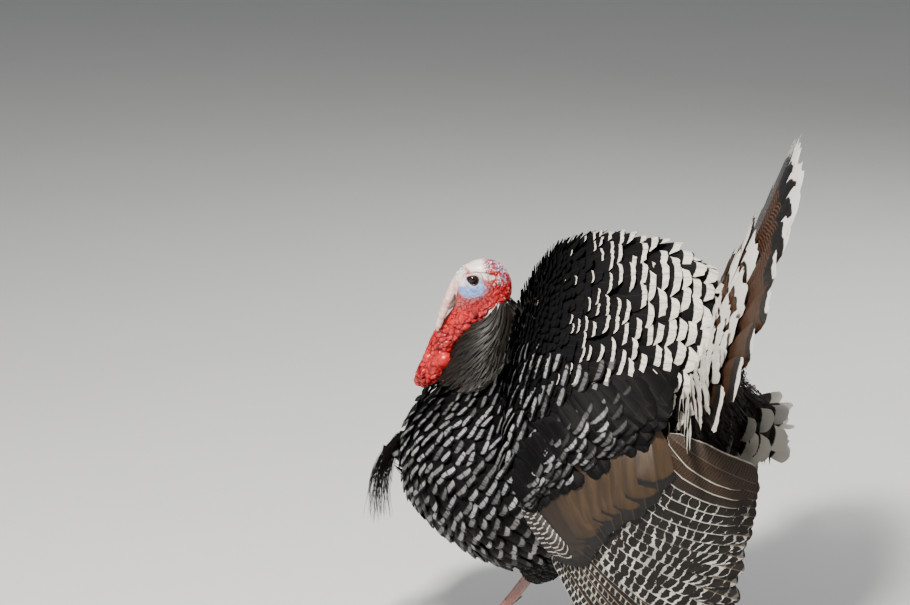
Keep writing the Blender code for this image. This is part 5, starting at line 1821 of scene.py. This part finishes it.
# ---- Stage ---------------------------------------------------------------------------------------
def make_stage():
    """A pale floor, soft studio light from the right and above, and the camera."""
    size = np.array((30.0, 30.0, -0.0002))
    corners = np.array(((-1, -1, 1), (1, -1, 1), (1, 1, 1), (-1, 1, 1))) * size
    made = Finish("studio_floor", 0.75)
    paint = made.done(made.mix(made.noise(made.place(), 3.0, 4.0), (0.66, 0.66, 0.64), (0.70, 0.70, 0.68)))
    add_object("studio_floor", mesh_of("studio_floor", corners, [[0, 1, 2, 3]]), paint)
    world = bpy.data.worlds.new("studio")
    world.use_nodes = True
    backdrop = world.node_tree.nodes["Background"]
    backdrop.inputs["Color"].default_value = (0.80, 0.84, 0.88, 1.0)
    backdrop.inputs["Strength"].default_value = 0.24
    bpy.context.scene.world = world
    lights = (
        ("key", (1.9, -0.5, 3.3), 0.55, 300.0, (1.0, 0.97, 0.92)),
        ("fill", (2.8, -2.6, 1.4), 1.6, 22.0, (0.95, 0.97, 1.0)),
        ("rim", (-2.2, 1.4, 2.4), 1.4, 60.0, (1.0, 1.0, 1.0)),
    )
    middle = np.array((0.0, 0.0, 0.38))
    for name, place, width, power, colour in lights:
        lamp = bpy.data.lights.new(name, "AREA")
        lamp.size = width
        lamp.energy = power
        lamp.color = colour
        aim_at(add_object(name, lamp), np.array(place), middle)
    camera = bpy.data.cameras.new("camera")
    camera.lens = CAMERA_LENS
    camera.sensor_width = 36.0
    camera.clip_end = 100.0
    holder = add_object("camera", camera)
    level = math.cos(CAMERA_ELEVATION)
    back = np.array(
        (math.sin(CAMERA_AZIMUTH) * level, -math.cos(CAMERA_AZIMUTH) * level, math.sin(CAMERA_ELEVATION))
    )
    aim_at(holder, CAMERA_TARGET + back * CAMERA_DISTANCE, CAMERA_TARGET)
    bpy.context.scene.camera = holder


def aim_at(holder, place, target):
    """Puts a lamp or camera at a place and turns its -Z towards the target, its Y upwards."""
    holder.location = place
    holder.rotation_euler = Vector(target - place).to_track_quat("-Z", "Y").to_euler()


def dress_bird():
    """Makes every finish and every piece of the bird."""
    body = body_feather_finish("breast_plumage", BLACK, roughness=0.27, metallic=0.18)
    velvet = body_feather_finish("mantle_plumage", (0.0024, 0.0022, 0.0024), roughness=0.45, metallic=0.0)
    brown_down = strand_finish("down_tufts", (0.009, 0.007, 0.006), (0.045, 0.034, 0.028), 0.85)
    make_skin(bare_skin_finish())
    make_breast(body)
    make_mantle(velvet)
    make_rump(brown_down)
    make_neck(strand_finish("cape_strands", (0.0042, 0.0033, 0.0027), (0.022, 0.017, 0.0135), 0.45))
    make_thighs(velvet)
    white, black = (0.84, 0.80, 0.73), (0.0050, 0.0042, 0.0042)
    make_tail(
        banded_feather_finish(
            "tail_plumage", (0.080, 0.031, 0.013), (0.006, 0.004, 0.0035),
            pitch=0.0064, bar_share=0.54, slant=1.2,
            bands=((0.028, 0.072, black), (-0.1, 0.026, white)), shaft=(0.060, 0.040, 0.026), roughness=0.45,
        ),
        banded_feather_finish(
            "tail_covert_plumage", (0.085, 0.030, 0.012), (0.012, 0.006, 0.004),
            pitch=0.0085, bar_share=0.40, slant=1.2,
            bands=((0.036, 0.041, black), (-0.1, 0.035, white)), shaft=(0.12, 0.075, 0.045), roughness=0.50,
        ),
    )
    rust = (0.10, 0.043, 0.020)
    make_undertail(
        banded_feather_finish(
            "undertail_plumage", (0.034, 0.024, 0.018), (0.014, 0.010, 0.008),
            pitch=0.012, bar_share=0.35, slant=0.4,
            bands=((0.030, 0.034, rust), (0.020, 0.030, black), (-0.1, 0.020, white)),
            shaft=(0.10, 0.075, 0.055), roughness=0.5,
        )
    )
    finishes = {
        "covert": covert_finish(),
        "primary": ladder_feather_finish(
            "primary_plumage", (0.72, 0.69, 0.63), pitch=0.0105, cell=(0.33, 0.62), shaft_at=0.20,
            inner_share=0.02, shaft=(0.26, 0.18, 0.11),
        ),
        "secondary": ladder_feather_finish(
            "secondary_plumage", (0.74, 0.70, 0.62), pitch=0.0140, cell=(0.39, 0.455), shaft_at=0.50,
            inner_share=0.25, shaft=(0.11, 0.075, 0.045),
        ),
        "shoulder": body,
    }
    for side, sign in SIDES:
        make_wing(side, sign, finishes)
    make_bill(horn_finish("bill_horn", (0.42, 0.34, 0.26), (0.62, 0.52, 0.42), 5.0))
    make_eyes(eye_finish())
    make_legs(leg_finish(), horn_finish("claw_horn", (0.16, 0.12, 0.10), (0.34, 0.27, 0.22), 6.0))
    make_beard(strand_finish("beard_bristles", (0.006, 0.005, 0.005), (0.022, 0.018, 0.015), 0.45))


dress_bird()
make_stage()
